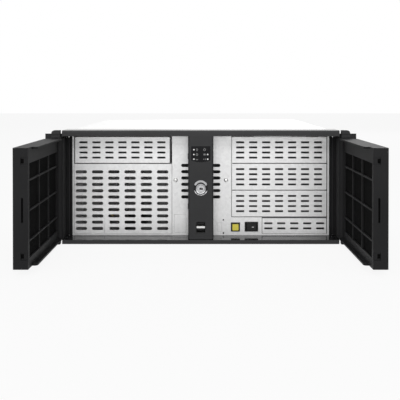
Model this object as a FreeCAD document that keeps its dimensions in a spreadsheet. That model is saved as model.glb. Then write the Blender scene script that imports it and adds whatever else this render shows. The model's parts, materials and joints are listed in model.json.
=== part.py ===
import FreeCAD, Part
import os

import Sketcher

# An empty 4U rackmount server case with a filtered double door, opened.
# Millimetres. +X is the viewer's right, +Y runs to the rear, +Z is up.
# The origin lies on the bottom face, in the middle of the rack ears' front plane.
# The two doors are modelled open, at right angles to the front.

SIZES = {
    # chassis
    "case_width": 430.0,
    "case_depth": 450.0,
    "case_height": 171.5,
    "sheet": 1.2,
    "tub_setback": 30.0,
    "tub_lip": 12.0,
    "bend_radius": 1.0,
    # bezel and the panel behind it
    "bezel_height": 176.0,
    "bezel_width": 427.4,
    "bezel_reach": 8.0,
    "bezel_wall": 2.5,
    "top_bar": 9.0,
    "bottom_bar": 7.0,
    "ledge_rise": 1.0,
    "bar_round": 3.0,
    "hinge_block": 9.2,
    "web_thick": 2.5,
    "panel_setback": 28.0,
    "panel_width": 407.0,
    "panel_gap": 0.4,
    "frame_strip": 2.4,
    # rack ears and ribbed grips
    "ear_span": 482.6,
    "ear_thick": 2.0,
    "ear_height": 165.0,
    "ear_bottom": 5.5,
    "ear_flange": 60.0,
    "rack_slot_span": 465.1,
    "rack_slot_pitch": 101.6,
    "rack_slot_width": 10.0,
    "rack_slot_height": 7.0,
    "rack_screw_room": 6.5,
    "grip_width": 13.0,
    "grip_round": 4.5,
    "rib_pitch": 5.2,
    "rib_groove": 2.6,
    "rib_depth": 2.0,
    # doors, as they stand open
    "door_bottom": 8.5,
    "door_height": 155.0,
    "door_depth": 27.0,
    "door_wall": 2.5,
    "door_end_gap": 1.2,
    "edge_wall_depth": 20.0,
    "edge_set_in": 18.0,
    "door_round": 8.0,
    "edge_round": 2.4,
    "neck_round": 4.6,
    "hinge_x": 209.5,
    "hinge_depth": 30.0,
    "hinge_barrel": 2.9,
    "hinge_pin": 1.5,
    "hinge_play": 0.05,
    "hinge_bore": 25.0,
    "pin_seat": 4.5,
    "strip_gap": 1.0,
    "catch_width": 4.0,
    "catch_height": 6.0,
    "catch_inset": 16.8,
    "catch_depth_in": 12.5,
    "door_slot_low": 68.3,
    "door_slot_height": 31.4,
    "door_slot_width": 2.6,
    "louvre_height": 6.0,
    "louvre_pitch": 11.0,
    "louvre_rows": 12,
    "louvre_length": 42.0,
    "louvre_step": 48.0,
    "louvre_columns": 3,
    "louvre_start": 18.0,
    # filter retainer
    "retainer_thick": 2.5,
    "retainer_bar": 2.2,
    "retainer_edge": 4.0,
    "retainer_top": 15.4,
    "retainer_foot": 11.0,
    "window_rise": 39.0,
    # drive bay covers
    "bay_width": 150.0,
    "bay_centre": 124.3,
    "bay_pitch": 42.6,
    "bay_top": 163.8,
    "bay_gap": 1.4,
    "bay_tab": 12.0,
    "cover_sheet": 1.0,
    "slot_length": 13.0,
    "slot_height": 3.0,
    "slot_step": 20.6,
    "slot_rise": 8.1,
    "slot_columns": 7,
    "slot_rows": 4,
    "small_bay_width": 101.6,
    "small_bay_height": 24.0,
    "small_slot_columns": 5,
    "small_slot_rows": 2,
    "cage_depth": 180.0,
    "small_cage_depth": 150.0,
    # ventilated panel
    "vent_low": 9.9,
    "vent_inner_x": 46.0,
    "vent_slot_length": 18.0,
    "vent_slot_height": 5.0,
    "vent_slot_step": 25.8,
    "vent_slot_rise": 10.0,
    "vent_first_x": 189.6,
    "vent_first_z": 18.4,
    "vent_columns": 6,
    "vent_rows": 10,
    "corner_plate_width": 47.8,
    "corner_plate_height": 25.2,
    "seam": 0.5,
    # middle of the front panel
    "mid_slot_x": 22.0,
    "mid_slot_low": 68.6,
    "mid_slot_rows": 6,
    "panel_screw_x": 40.0,
    "panel_screw_z": 95.3,
    "small_hole_x": 36.6,
    "small_hole_z": 11.3,
    "small_hole_rise": 21.2,
    "small_hole": 2.3,
    # fan bracket and drive cage
    "fan_x": 122.4,
    "fan_z": 62.5,
    "fan_bore": 52.5,
    "fan_plate_width": 134.0,
    "fan_setback": 4.0,
    "fan_hole": 2.2,
    "fan_hole_pitch": 105.0,
    "drive_cage_left": -138.0,
    "drive_cage_width": 104.0,
    "drive_cage_height": 112.0,
    "drive_cage_depth": 150.0,
    "drive_cage_gap": 26.0,
    "drive_cage_lip": 12.0,
    "drive_slot_length": 90.0,
    "drive_slot_height": 4.0,
    "drive_slot_rise": 25.4,
    # centre strip
    "strip_width": 39.0,
    "strip_round": 3.0,
    "strip_bump": 0.6,
    "bump_height": 8.0,
    "bump_high": 131.4,
    "bump_low": 54.0,
    "window_width": 29.6,
    "window_height": 24.7,
    "window_low": 126.9,
    "window_thick": 1.5,
    "window_arch": 40.0,
    "window_sunk": 0.3,
    "lamp_x": 10.6,
    "lamp_low": 131.6,
    "lamp_rise": 7.3,
    "lamp_radius": 1.1,
    "lamp_proud": 0.3,
    "lock_z": 86.0,
    "lock_flange": 10.0,
    "lock_flange_thick": 2.0,
    "lock_radius": 7.8,
    "lock_length": 9.0,
    "plug_radius": 5.8,
    "plug_play": 0.08,
    "keyway_length": 4.6,
    "keyway_width": 2.0,
    "keyway_depth": 3.0,
    "nut_radius": 10.0,
    "nut_thick": 2.0,
    "cam_reach": 22.6,
    "cam_width": 5.0,
    "cam_thick": 1.6,
    "cam_play": 0.4,
    "cam_sweep": 17.0,
    "stub_radius": 3.0,
    "usb_width": 14.0,
    "usb_height": 17.5,
    "usb_low": 17.7,
    "usb_depth": 14.0,
    "usb_rim": 1.2,
    "port_width": 9.6,
    "port_height": 5.0,
    "port_step": 8.2,
    # push button and rocker switch
    "button_x": 54.9,
    "button_z": 21.0,
    "button_frame": 14.2,
    "button_cap": 9.6,
    "button_play": 0.35,
    "button_travel": 2.0,
    "button_proud": 4.0,
    "control_proud": 1.5,
    "control_depth": 12.0,
    "rocker_x": 80.3,
    "rocker_z": 21.5,
    "rocker_width": 21.2,
    "rocker_height": 15.2,
    "rocker_rim": 1.8,
    "rocker_play": 1.2,
    "rocker_pivot_in": 1.0,
    "rocker_rise": 3.0,
    "rocker_peak": 4.9,
    "rocker_back": 0.8,
    "trunnion": 1.0,
    "trunnion_play": 0.06,
    "trunnion_reach": 0.9,
    # top cover
    "cover_skirt": 14.0,
    "cover_play": 0.25,
    "cover_start": 62.0,
    "cover_lip": 11.0,
    "thumb_x": 140.0,
    "thumb_radius": 5.5,
    "thumb_height": 8.0,
    "thumb_shank": 1.7,
    "thumb_reach": 7.0,
    "thumb_play": 0.4,
    # rear panel
    "board_x": -45.0,
    "port_opening_width": 158.75,
    "port_opening_height": 44.45,
    "board_lift": 7.7,
    "supply_width": 86.0,
    "supply_height": 150.0,
    "supply_x": 122.0,
    "supply_z": 10.0,
    "card_pitch": 20.32,
    "card_count": 7,
    "card_first_x": -66.0,
    "card_slot_width": 14.0,
    "card_slot_height": 104.0,
    "card_slot_low": 12.0,
    "bracket_width": 18.4,
    "bracket_height": 112.0,
    "bracket_sheet": 0.9,
    "bracket_tab": 10.0,
    "rear_vent_length": 64.0,
    "rear_vent_height": 4.0,
    "rear_vent_rise": 8.0,
    "rear_vent_rows": 9,
    "rear_vent_low": 70.0,
    "rear_vent_step": 82.0,
    "rear_vent_x": -36.0,
    # fasteners
    "standoff_radius": 3.0,
    "standoff_height": 6.5,
    "screw_radius": 1.5,
    "screw_head": 3.3,
    "screw_head_thick": 1.8,
    "screw_length": 6.0,
}

doc = FreeCAD.newDocument("RackCase")
sheet = doc.addObject("Spreadsheet::Sheet", "Sizes")
for row, (word, number) in enumerate(SIZES.items(), start=1):
    sheet.set(f"A{row}", word)
    sheet.set(f"B{row}", str(number))
    sheet.setAlias(f"B{row}", word)
doc.recompute()


class Size:
    """A length that knows its present value and the sheet formula it comes from."""

    def __init__(self, value, formula):
        self.value = value
        self.formula = formula

    def __add__(self, other):
        other = size_of(other)
        return Size(self.value + other.value, f"({self.formula} + {other.formula})")

    def __sub__(self, other):
        other = size_of(other)
        return Size(self.value - other.value, f"({self.formula} - {other.formula})")

    def __mul__(self, other):
        other = size_of(other)
        return Size(self.value * other.value, f"({self.formula} * {other.formula})")

    def __truediv__(self, other):
        other = size_of(other)
        return Size(self.value / other.value, f"({self.formula} / {other.formula})")

    def __radd__(self, other):
        return size_of(other) + self

    def __rsub__(self, other):
        return size_of(other) - self

    def __rmul__(self, other):
        return size_of(other) * self

    def __neg__(self):
        return Size(-self.value, f"(0 - {self.formula})")


def size_of(thing):
    """Turn a plain number into a Size, and leave a Size as it is."""
    if isinstance(thing, Size):
        return thing
    return Size(float(thing), f"({float(thing)})")


class Sheet:
    """Gives each named cell of the sheet as a Size: cell.sheet, cell.case_width and so on."""

    def __getattr__(self, word):
        return Size(float(getattr(sheet, word)), f"Sizes.{word}")


cell = Sheet()
PARTS = []


def bind(thing, path, size):
    """Tie one property of an object to its formula in the sheet."""
    thing.setExpression(path, size_of(size).formula)


def place(thing, x=0, y=0, z=0):
    """Tie an object's position to the sheet."""
    base = FreeCAD.Vector(size_of(x).value, size_of(y).value, size_of(z).value)
    thing.Placement = FreeCAD.Placement(base, thing.Placement.Rotation)
    for axis, size in (("x", x), ("y", y), ("z", z)):
        if isinstance(size, Size):
            bind(thing, f"Placement.Base.{axis}", size)
    return thing


def block(name, corner, extent):
    """A box from its lowest corner and its three lengths."""
    box = doc.addObject("Part::Box", name)
    for path, size in zip(("Length", "Width", "Height"), extent):
        bind(box, path, size)
    return place(box, *corner)


AXES = {
    "x": FreeCAD.Rotation(FreeCAD.Vector(0, 1, 0), 90),
    "y": FreeCAD.Rotation(FreeCAD.Vector(1, 0, 0), -90),
    "z": FreeCAD.Rotation(),
}


def rod(name, foot, radius, length, axis="z"):
    """A cylinder that starts at foot and runs along +X, +Y or +Z."""
    cylinder = doc.addObject("Part::Cylinder", name)
    bind(cylinder, "Radius", radius)
    bind(cylinder, "Height", length)
    cylinder.Placement = FreeCAD.Placement(FreeCAD.Vector(), AXES[axis])
    return place(cylinder, *foot)


def prism(name, foot, radius, length, axis="z"):
    """A hexagonal bar that starts at foot and runs along +X, +Y or +Z."""
    bar = doc.addObject("Part::Prism", name)
    bar.Polygon = 6
    bind(bar, "Circumradius", radius)
    bind(bar, "Height", length)
    bar.Placement = FreeCAD.Placement(FreeCAD.Vector(), AXES[axis])
    return place(bar, *foot)


def fuse(name, pieces):
    """One solid from several that meet."""
    joined = doc.addObject("Part::MultiFuse", name)
    joined.Shapes = pieces
    joined.Refine = True
    return joined


def group(name, pieces):
    """Several separate solids in one node."""
    bundle = doc.addObject("Part::Compound", name)
    bundle.Links = pieces
    return bundle


def cut(name, base, tools):
    """The base with the tools taken away."""
    tool = tools[0] if len(tools) == 1 else group(f"{name}_tools", tools)
    result = doc.addObject("Part::Cut", name)
    result.Base = base
    result.Tool = tool
    result.Refine = True
    return result


def mirror(name, source):
    """The same piece on the other side of the case's middle plane."""
    other = doc.addObject("Part::Mirroring", name)
    other.Source = source
    other.Normal = FreeCAD.Vector(1, 0, 0)
    return other


def keep(node, thing):
    """Name a finished sub-part after its node."""
    thing.Label = node
    PARTS.append(thing)
    return thing


# Each plane's sketch axes, and whether a pad has to be reversed to run along the plus axis.
PLANES = {"XY_Plane": False, "XZ_Plane": True, "YZ_Plane": False}


def attach(body, plane, name):
    """A sketch on one of the body's own origin planes."""
    sketch = body.newObject("Sketcher::SketchObject", name)
    origin = [item for item in body.Origin.OriginFeatures if item.Role == plane][0]
    sketch.AttachmentSupport = [(origin, "")]
    sketch.MapMode = "FlatFace"
    return sketch


def draw_outline(sketch, corners):
    """A closed outline of straight lines whose corners are tied to the sheet."""
    points = [FreeCAD.Vector(size_of(u).value, size_of(v).value, 0) for u, v in corners]
    count = len(points)
    for index in range(count):
        line = Part.LineSegment(points[index], points[(index + 1) % count])
        sketch.addGeometry(line, False)
    for index in range(count):
        sketch.addConstraint(Sketcher.Constraint("Coincident", index, 2, (index + 1) % count, 1))
    for index, (u, v) in enumerate(corners):
        for kind, size in (("DistanceX", u), ("DistanceY", v)):
            rule = Sketcher.Constraint(kind, -1, 1, index, 1, size_of(size).value)
            number = sketch.addConstraint(rule)
            bind(sketch, f"Constraints[{number}]", size)


def draw_slot(sketch, centre, length, height):
    """An obround slot whose ends are half circles."""
    u, v = size_of(centre[0]), size_of(centre[1])
    radius = size_of(height) / 2
    reach = size_of(length) / 2 - radius
    left = FreeCAD.Vector(u.value - reach.value, v.value, 0)
    right = FreeCAD.Vector(u.value + reach.value, v.value, 0)
    up = FreeCAD.Vector(0, radius.value, 0)
    normal = FreeCAD.Vector(0, 0, 1)
    quarter = 1.5707963267948966
    end = Part.ArcOfCircle(Part.Circle(right, normal, radius.value), -quarter, quarter)
    start = Part.ArcOfCircle(Part.Circle(left, normal, radius.value), quarter, 3 * quarter)
    sketch.addGeometry(end, False)
    sketch.addGeometry(Part.LineSegment(right + up, left + up), False)
    sketch.addGeometry(start, False)
    sketch.addGeometry(Part.LineSegment(left - up, right - up), False)
    for first, first_end, second, second_end in ((0, 2, 1, 1), (1, 2, 2, 1), (2, 2, 3, 1), (3, 2, 0, 1)):
        sketch.addConstraint(Sketcher.Constraint("Tangent", first, first_end, second, second_end))
    ties = (("DistanceX", 0, u + reach), ("DistanceY", 0, v), ("DistanceX", 2, u - reach))
    for kind, arc, size in ties:
        number = sketch.addConstraint(Sketcher.Constraint(kind, -1, 1, arc, 3, size.value))
        bind(sketch, f"Constraints[{number}]", size)
    number = sketch.addConstraint(Sketcher.Constraint("Radius", 0, radius.value))
    bind(sketch, f"Constraints[{number}]", radius)
    sketch.addConstraint(Sketcher.Constraint("Horizontal", 1))


def profile(name, plane, corners, length, rounds=()):
    """A body padded from an outline. rounds lists (corner number, radius) pairs."""
    body = doc.addObject("PartDesign::Body", name)
    sketch = attach(body, plane, f"{name}_outline")
    draw_outline(sketch, corners)
    pad = body.newObject("PartDesign::Pad", f"{name}_pad")
    pad.Profile = sketch
    pad.Reversed = PLANES[plane]
    bind(pad, "Length", length)
    doc.recompute()
    for step, (corner, radius) in enumerate(rounds):
        feature = body.Tip
        point = sketch.Placement.multVec(sketch.Geometry[corner].StartPoint)
        along = sketch.Placement.Rotation.multVec(FreeCAD.Vector(0, 0, 1))
        names = []
        for number, edge in enumerate(feature.Shape.Edges, start=1):
            ends = [vertex.Point.sub(point) for vertex in edge.Vertexes]
            if len(ends) == 2 and all(end.cross(along).Length < 0.001 for end in ends):
                names.append(f"Edge{number}")
        fillet = body.newObject("PartDesign::Fillet", f"{name}_round_{step}")
        fillet.Base = (feature, names)
        bind(fillet, "Radius", radius)
        doc.recompute()
    return body


def pattern(body, original, columns, column_step, rows, row_step):
    """Repeat a pocket along the two axes of its sketch."""
    sketch = original.Profile[0]
    grid = body.newObject("PartDesign::LinearPattern", f"{original.Name}_grid")
    grid.Originals = [original]
    grid.Direction = (sketch, ["H_Axis"])
    grid.Mode = "Spacing"
    bind(grid, "Offset", column_step)
    bind(grid, "Occurrences", columns)
    grid.Direction2 = (sketch, ["V_Axis"])
    grid.Mode2 = "Spacing"
    bind(grid, "Offset2", row_step)
    bind(grid, "Occurrences2", rows)
    body.Tip = grid
    doc.recompute()
    return grid


def pocket(body, plane, name, draw):
    """A pocket right through the body, from a sketch that draw fills in."""
    sketch = attach(body, plane, f"{name}_sketch")
    draw(sketch)
    hollow = body.newObject("PartDesign::Pocket", name)
    hollow.Profile = sketch
    hollow.Type = "ThroughAll"
    hollow.SideType = "Symmetric"
    doc.recompute()
    return hollow


def rectangle(left, low, width, height):
    """The four corners of a rectangle."""
    return [(left, low), (left + width, low), (left + width, low + height), (left, low + height)]


# Places that several pieces share.
half_width = cell.case_width / 2
inner_half = half_width - cell.sheet
face_y = -cell.bezel_reach
panel_y = face_y + cell.panel_setback
panel_back = panel_y + cell.sheet
tub_y = cell.tub_setback
rear_y = cell.case_depth
bezel_half = cell.bezel_width / 2
grip_x = cell.ear_span / 2 - cell.grip_width - 11.3
hinge_y = face_y + cell.hinge_depth
door_outer = cell.hinge_x + cell.hinge_depth
strip_half = cell.strip_width / 2
door_edge_y = hinge_y + strip_half + cell.strip_gap - cell.hinge_x
door_top = cell.door_bottom + cell.door_height
door_inner = door_outer - cell.edge_wall_depth
door_end_y = face_y - cell.door_end_gap
bars_top = cell.bezel_height - cell.top_bar
bay_left = cell.bay_centre - cell.bay_width / 2
bay_right = cell.bay_centre + cell.bay_width / 2
cover_height = cell.bay_pitch - cell.bay_gap
bays_floor = cell.bay_top - 3 * cell.bay_pitch
small_floor = bays_floor - cell.bay_gap - cell.small_bay_height
panel_half = cell.panel_width / 2
frame_half = panel_half - cell.frame_strip
frame_top = cell.bay_top + cell.panel_gap


def make_tub():
    """The folded tub: floor, two side walls and a lip down each side of the front."""
    high = cell.case_height - cell.sheet
    outline = [
        (-half_width, 0), (half_width, 0), (half_width, high), (inner_half, high),
        (inner_half, cell.sheet), (-inner_half, cell.sheet), (-inner_half, high), (-half_width, high),
    ]
    rounds = [(0, cell.bend_radius), (1, cell.bend_radius)]
    shell = profile("tub_fold", "XZ_Plane", outline, rear_y - tub_y, rounds)
    place(shell, 0, tub_y, 0)
    lip_size = (cell.tub_lip, cell.sheet, high - cell.sheet)
    right = block("tub_lip_right", (inner_half - cell.tub_lip, tub_y, cell.sheet), lip_size)
    left = block("tub_lip_left", (-inner_half, tub_y, cell.sheet), lip_size)
    body = fuse("tub_sheet", [shell, right, left])
    keep("chassis_tub", cut("tub_drilled", body, ear_screw_shanks("tub")))


def ear_screw_places():
    """Where the ears' side screws go: distance along Y and height."""
    for height in (0.2, 0.5, 0.8):
        yield cell.ear_flange - 12, cell.ear_bottom + cell.ear_height * height


def ear_screw_shanks(name):
    """The shanks of the ears' side screws, on both sides."""
    shanks = []
    reach = cell.screw_length
    for number, (y, z) in enumerate(ear_screw_places()):
        start = half_width + cell.ear_thick - reach
        shanks.append(rod(f"{name}_shank_r{number}", (start, y, z), cell.screw_radius, reach, "x"))
        left = -half_width - cell.ear_thick
        shanks.append(rod(f"{name}_shank_l{number}", (left, y, z), cell.screw_radius, reach, "x"))
    return shanks


def rack_slot_places():
    """The centres of the right ear's two slots."""
    middle = cell.ear_bottom + cell.ear_height / 2
    for side, sign in (("low", -1), ("high", 1)):
        yield side, cell.rack_slot_span / 2, middle + cell.rack_slot_pitch * sign / 2


def make_ears():
    """Two rack ears: a slotted front plate and a flange along the tub's side."""
    outer = cell.ear_span / 2
    start = half_width
    outline = [
        (start, 0), (outer, 0), (outer, cell.ear_thick), (start + cell.ear_thick, cell.ear_thick),
        (start + cell.ear_thick, cell.ear_flange), (start, cell.ear_flange),
    ]
    fold = profile("ear_fold", "XY_Plane", outline, cell.ear_height, [(0, cell.bend_radius)])
    place(fold, 0, 0, cell.ear_bottom)
    slots = []
    radius = cell.rack_slot_height / 2
    reach = cell.rack_slot_width / 2 - radius
    for side, x, z in rack_slot_places():
        inner = rod(f"slot_{side}_in", (x - reach, 0, z), radius, cell.ear_thick, "y")
        end = rod(f"slot_{side}_out", (x + reach, 0, z), radius, cell.ear_thick, "y")
        bar = (reach * 2, cell.ear_thick, radius * 2)
        mid = block(f"slot_{side}_mid", (x - reach, 0, z - radius), bar)
        slots.append(fuse(f"slot_{side}", [inner, end, mid]))
    shanks = ear_screw_shanks("ear")
    right = cut("ear_right_cut", fold, slots + shanks[0::2])
    keep("rack_ear_right", right)
    keep("rack_ear_left", mirror("ear_left_mirror", right))


def make_grips():
    """Ribbed grips that cover the inner part of each ear."""
    deep = cell.bezel_reach
    outline = rectangle(grip_x, 0, cell.grip_width, cell.bezel_height)
    body = profile("grip_bar", "XZ_Plane", outline, deep, [(2, cell.grip_round)])
    place(body, 0, face_y, 0)
    doc.recompute()
    start = cell.rib_pitch / 2 - cell.rib_groove / 2
    groove = attach(body, "YZ_Plane", "grip_groove_sketch")
    draw_outline(groove, rectangle(0, start, cell.rib_depth, cell.rib_groove))
    hollow = body.newObject("PartDesign::Pocket", "grip_groove")
    hollow.Profile = groove
    hollow.Type = "ThroughAll"
    hollow.SideType = "Symmetric"
    doc.recompute()
    ribs = int(round(cell.bezel_height.value / cell.rib_pitch.value - 0.5))
    rows = body.newObject("PartDesign::LinearPattern", "grip_ribs")
    rows.Originals = [hollow]
    rows.Direction = (groove, ["V_Axis"])
    rows.Mode = "Spacing"
    bind(rows, "Offset", cell.rib_pitch)
    rows.Occurrences = ribs
    body.Tip = rows
    doc.recompute()
    room = []
    for side, x, z in rack_slot_places():
        room.append(rod(f"screw_room_{side}", (x, face_y, z), cell.rack_screw_room, deep, "y"))
    right = cut("grip_notched", body, room)
    keep("side_grip_right", right)
    keep("side_grip_left", mirror("grip_left_mirror", right))


def make_bezel():
    """The bezel moulding: top and bottom bars, rear webs and the hinge pin blocks."""
    back = tub_y - 1.5
    wall = cell.bezel_wall
    low_front = cell.bottom_bar
    low_back = cell.bottom_bar + cell.ledge_rise
    inner_front = face_y + wall
    top = cell.bezel_height
    top_outline = [
        (face_y, bars_top), (panel_y - cell.panel_gap, bars_top), (panel_y - cell.panel_gap, bars_top + wall),
        (inner_front, bars_top + wall), (inner_front, top - wall), (back, top - wall),
        (back, top), (face_y, top),
    ]
    bottom_outline = [
        (face_y, 0), (back, 0), (back, wall), (inner_front, wall), (inner_front, low_front - wall),
        (panel_y - cell.panel_gap, low_back - wall), (panel_y - cell.panel_gap, low_back),
        (face_y, low_front),
    ]
    top_bar = profile("top_bar", "YZ_Plane", top_outline, cell.bezel_width, [(7, cell.bar_round)])
    bottom_bar = profile("bottom_bar", "YZ_Plane", bottom_outline, cell.bezel_width, [(0, cell.bar_round)])
    place(top_bar, -bezel_half, 0, 0)
    place(bottom_bar, -bezel_half, 0, 0)
    pieces = [top_bar, bottom_bar]
    holes = []
    for side, sign in (("left", -1), ("right", 1)):
        inner_x = bezel_half - cell.hinge_block
        web_x = inner_x if sign > 0 else -bezel_half
        web_y = back - cell.web_thick
        web = (cell.hinge_block, cell.web_thick, cell.bezel_height)
        pieces.append(block(f"web_{side}", (web_x, web_y, 0), web))
        seat_y = panel_y - cell.panel_gap - 2
        seat = (cell.hinge_block, back - seat_y, cell.top_bar)
        pieces.append(block(f"block_top_{side}", (web_x, seat_y, bars_top), seat))
        foot = (cell.hinge_block, back - seat_y, cell.bottom_bar)
        pieces.append(block(f"block_foot_{side}", (web_x, seat_y, 0), foot))
        holes += hinge_pin_rods(f"seat_{side}", sign)
    keep("bezel_frame", cut("bezel_drilled", fuse("bezel_moulding", pieces), holes))


def hinge_pin_rods(name, sign):
    """The upper and the lower hinge pin of one door."""
    x = cell.hinge_x * sign
    low = cell.bottom_bar - cell.pin_seat
    rise = cell.door_bottom - low + cell.hinge_bore - 1
    high = door_top - cell.hinge_bore + 1
    fall = bars_top + cell.pin_seat - high
    return [
        rod(f"{name}_pin_low", (x, hinge_y, low), cell.hinge_pin, rise),
        rod(f"{name}_pin_high", (x, hinge_y, high), cell.hinge_pin, fall),
    ]


def make_hinge_pins():
    """Four steel pins, two to a door."""
    keep("hinge_pins", group("pins", hinge_pin_rods("right", 1) + hinge_pin_rods("left", -1)))


def make_doors():
    """Filter doors: louvred face, free edge wall, rims and a necked return to the hinge."""
    wall = cell.door_wall
    neck_x = half_width - 0.3
    edge = door_edge_y
    outline = [
        (door_inner, edge), (door_outer, edge), (door_outer, door_end_y),
        (neck_x, door_end_y), (neck_x, hinge_y - 1.5), (cell.hinge_x + 1, hinge_y - 1.5),
        (cell.hinge_x + 1, hinge_y - 1.5 - wall), (neck_x - wall, hinge_y - 1.5 - wall),
        (neck_x - wall, door_end_y - wall), (door_outer - wall, door_end_y - wall),
        (door_outer - wall, edge + wall), (door_inner, edge + wall),
    ]
    rounds = [
        (1, cell.edge_round), (2, cell.door_round), (9, cell.door_round - wall),
        (8, cell.neck_round + wall), (4, cell.edge_round / 2),
    ]
    shell = profile("door_section", "XY_Plane", outline, cell.door_height, rounds)
    place(shell, 0, 0, cell.door_bottom)
    barrel = rod("door_barrel", (cell.hinge_x, hinge_y, cell.door_bottom), cell.hinge_barrel, cell.door_height)
    rim_start = edge + cell.edge_set_in
    rim_x = door_outer - cell.door_depth
    rim_outline = [
        (door_inner, edge + wall), (door_outer - wall, edge + wall), (door_outer - wall, door_end_y - wall),
        (rim_x, door_end_y - wall), (rim_x, rim_start), (door_inner, rim_start),
    ]
    rim_rounds = [(4, cell.door_round / 2)]
    low_rim = profile("door_rim_low", "XY_Plane", rim_outline, wall, rim_rounds)
    place(low_rim, 0, 0, cell.door_bottom)
    high_rim = profile("door_rim_high", "XY_Plane", rim_outline, wall, rim_rounds)
    place(high_rim, 0, 0, door_top - wall)
    body = fuse("door_moulding", [shell, barrel, low_rim, high_rim])
    catch_x = door_outer - cell.catch_depth_in - cell.catch_width / 2
    tools = []
    bore = cell.hinge_pin + cell.hinge_play
    for name, z in (("low", cell.door_bottom), ("high", door_top - cell.hinge_bore)):
        tools.append(rod(f"door_bore_{name}", (cell.hinge_x, hinge_y, z), bore, cell.hinge_bore))
    for name, z in (("low", cell.door_bottom + cell.catch_inset), ("high", door_top - cell.catch_inset)):
        low = z - cell.catch_height / 2
        hole = (cell.catch_width, wall, cell.catch_height)
        tools.append(block(f"catch_{name}", (catch_x, edge, low), hole))
        dish = (catch_x - door_inner + cell.catch_width, 1, cell.catch_height + 4)
        tools.append(block(f"catch_dish_{name}", (door_inner, edge, low - 2), dish))
    slot_x = door_outer - cell.catch_depth_in - cell.door_slot_width / 2
    slot = (cell.door_slot_width, wall, cell.door_slot_height)
    tools.append(block("door_cam_slot", (slot_x, edge, cell.door_slot_low), slot))
    middle = cell.door_bottom + cell.door_height / 2
    first_z = middle - cell.louvre_pitch * (cell.louvre_rows - 1) / 2 - cell.louvre_height / 2
    for column in range(int(cell.louvre_columns.value)):
        y = edge + cell.louvre_start + cell.louvre_step * column
        for row in range(int(cell.louvre_rows.value)):
            z = first_z + cell.louvre_pitch * row
            gap = (wall, cell.louvre_length, cell.louvre_height)
            tools.append(block(f"louvre_{column}_{row}", (door_outer - wall, y, z), gap))
    door = cut("door_open", body, tools)
    keep("door_right", door)
    keep("door_left", mirror("door_left_mirror", door))


def make_filters():
    """A foam sheet and its clip-in retainer grid in each door."""
    wall = cell.door_wall
    start = door_edge_y + wall
    length = door_end_y - wall - start
    low = cell.door_bottom + wall
    high = door_top - wall
    thick = cell.retainer_thick
    outline = rectangle(start, low, length, high - low)
    body = profile("retainer_plate", "YZ_Plane", outline, thick)
    bar = cell.retainer_bar
    column = (length - cell.retainer_edge * 2 - bar * 2) / 3
    glass_top = high - cell.retainer_top
    glass_foot = low + cell.retainer_foot
    half_row = (glass_top - glass_foot - cell.window_rise * 2) / 2
    rows = [
        (glass_foot, half_row), (glass_foot + half_row, cell.window_rise),
        (glass_foot + half_row + cell.window_rise, cell.window_rise),
        (glass_top - half_row, half_row),
    ]
    place(body, door_inner, 0, 0)
    windows = []
    for number in range(3):
        y = start + cell.retainer_edge + (column + bar) * number
        for row, (z, rise) in enumerate(rows):
            hole = (thick, column, rise - bar)
            windows.append(block(f"window_{number}_{row}", (door_inner, y, z), hole))
    grid = cut("retainer_grid", body, windows)
    keep("filter_retainer_right", grid)
    keep("filter_retainer_left", mirror("retainer_left_mirror", grid))
    foam_x = door_inner + thick
    foam_outline = rectangle(foam_x, start, door_outer - wall - foam_x, length)
    foam = profile("foam_sheet", "XY_Plane", foam_outline, high - low, [(2, cell.door_round - wall)])
    place(foam, 0, 0, low)
    keep("door_filter_right", foam)
    keep("door_filter_left", mirror("foam_left_mirror", foam))


def make_front_panel():
    """The plated front panel, folded back at its sides, with the drive bays cut out."""
    sheet_thick = cell.sheet
    outline = [
        (-panel_half, panel_y), (panel_half, panel_y), (panel_half, tub_y),
        (panel_half - sheet_thick, tub_y), (panel_half - sheet_thick, panel_back),
        (-panel_half + sheet_thick, panel_back), (-panel_half + sheet_thick, tub_y), (-panel_half, tub_y),
    ]
    low = cell.bottom_bar + 0.5
    height = bars_top - cell.panel_gap - low
    fold = profile("panel_fold", "XY_Plane", outline, height)
    place(fold, 0, 0, low)
    tools = []
    gap = cell.panel_gap

    def window(name, left, right, bottom, top):
        tools.append(block(name, (left, panel_y, bottom), (right - left, sheet_thick, top - bottom)))

    window("bays_left", -frame_half, -cell.vent_inner_x + gap, cell.vent_low - gap, frame_top)
    window("bays_right", bay_left - gap * 2, frame_half, bays_floor, frame_top)
    small_left = bay_right - cell.small_bay_width - gap * 2
    window("bay_small", small_left, frame_half, small_floor - gap, bays_floor)
    for name, x in (("left", -cell.mid_slot_x), ("right", cell.mid_slot_x)):
        for row in range(int(cell.mid_slot_rows.value)):
            z = cell.mid_slot_low + cell.vent_slot_rise * row
            half = cell.vent_slot_length / 2
            rise = cell.vent_slot_height / 2
            window(f"mid_slot_{name}_{row}", x - half, x + half, z - rise, z + rise)
    frame = cell.button_frame / 2 - 1
    window("button_hole", cell.button_x - frame, cell.button_x + frame,
           cell.button_z - frame, cell.button_z + frame)
    wide = cell.rocker_width / 2 - 1
    tall = cell.rocker_height / 2 - 1
    window("rocker_hole", cell.rocker_x - wide, cell.rocker_x + wide,
           cell.rocker_z - tall, cell.rocker_z + tall)
    for number in range(2):
        z = cell.small_hole_z + cell.small_hole_rise * number
        foot = (cell.small_hole_x, panel_y, z)
        tools.append(rod(f"small_hole_{number}", foot, cell.small_hole, sheet_thick, "y"))
    tools += panel_screw_shanks("panel")
    keep("front_panel", cut("panel_open", fold, tools))


def panel_screw_shanks(name):
    """Two screws beside the centre strip."""
    shanks = []
    for side, x in (("left", -cell.panel_screw_x), ("right", cell.panel_screw_x)):
        foot = (x, panel_y, cell.panel_screw_z)
        shanks.append(rod(f"{name}_screw_{side}", foot, cell.screw_radius, cell.screw_length, "y"))
    return shanks


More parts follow.
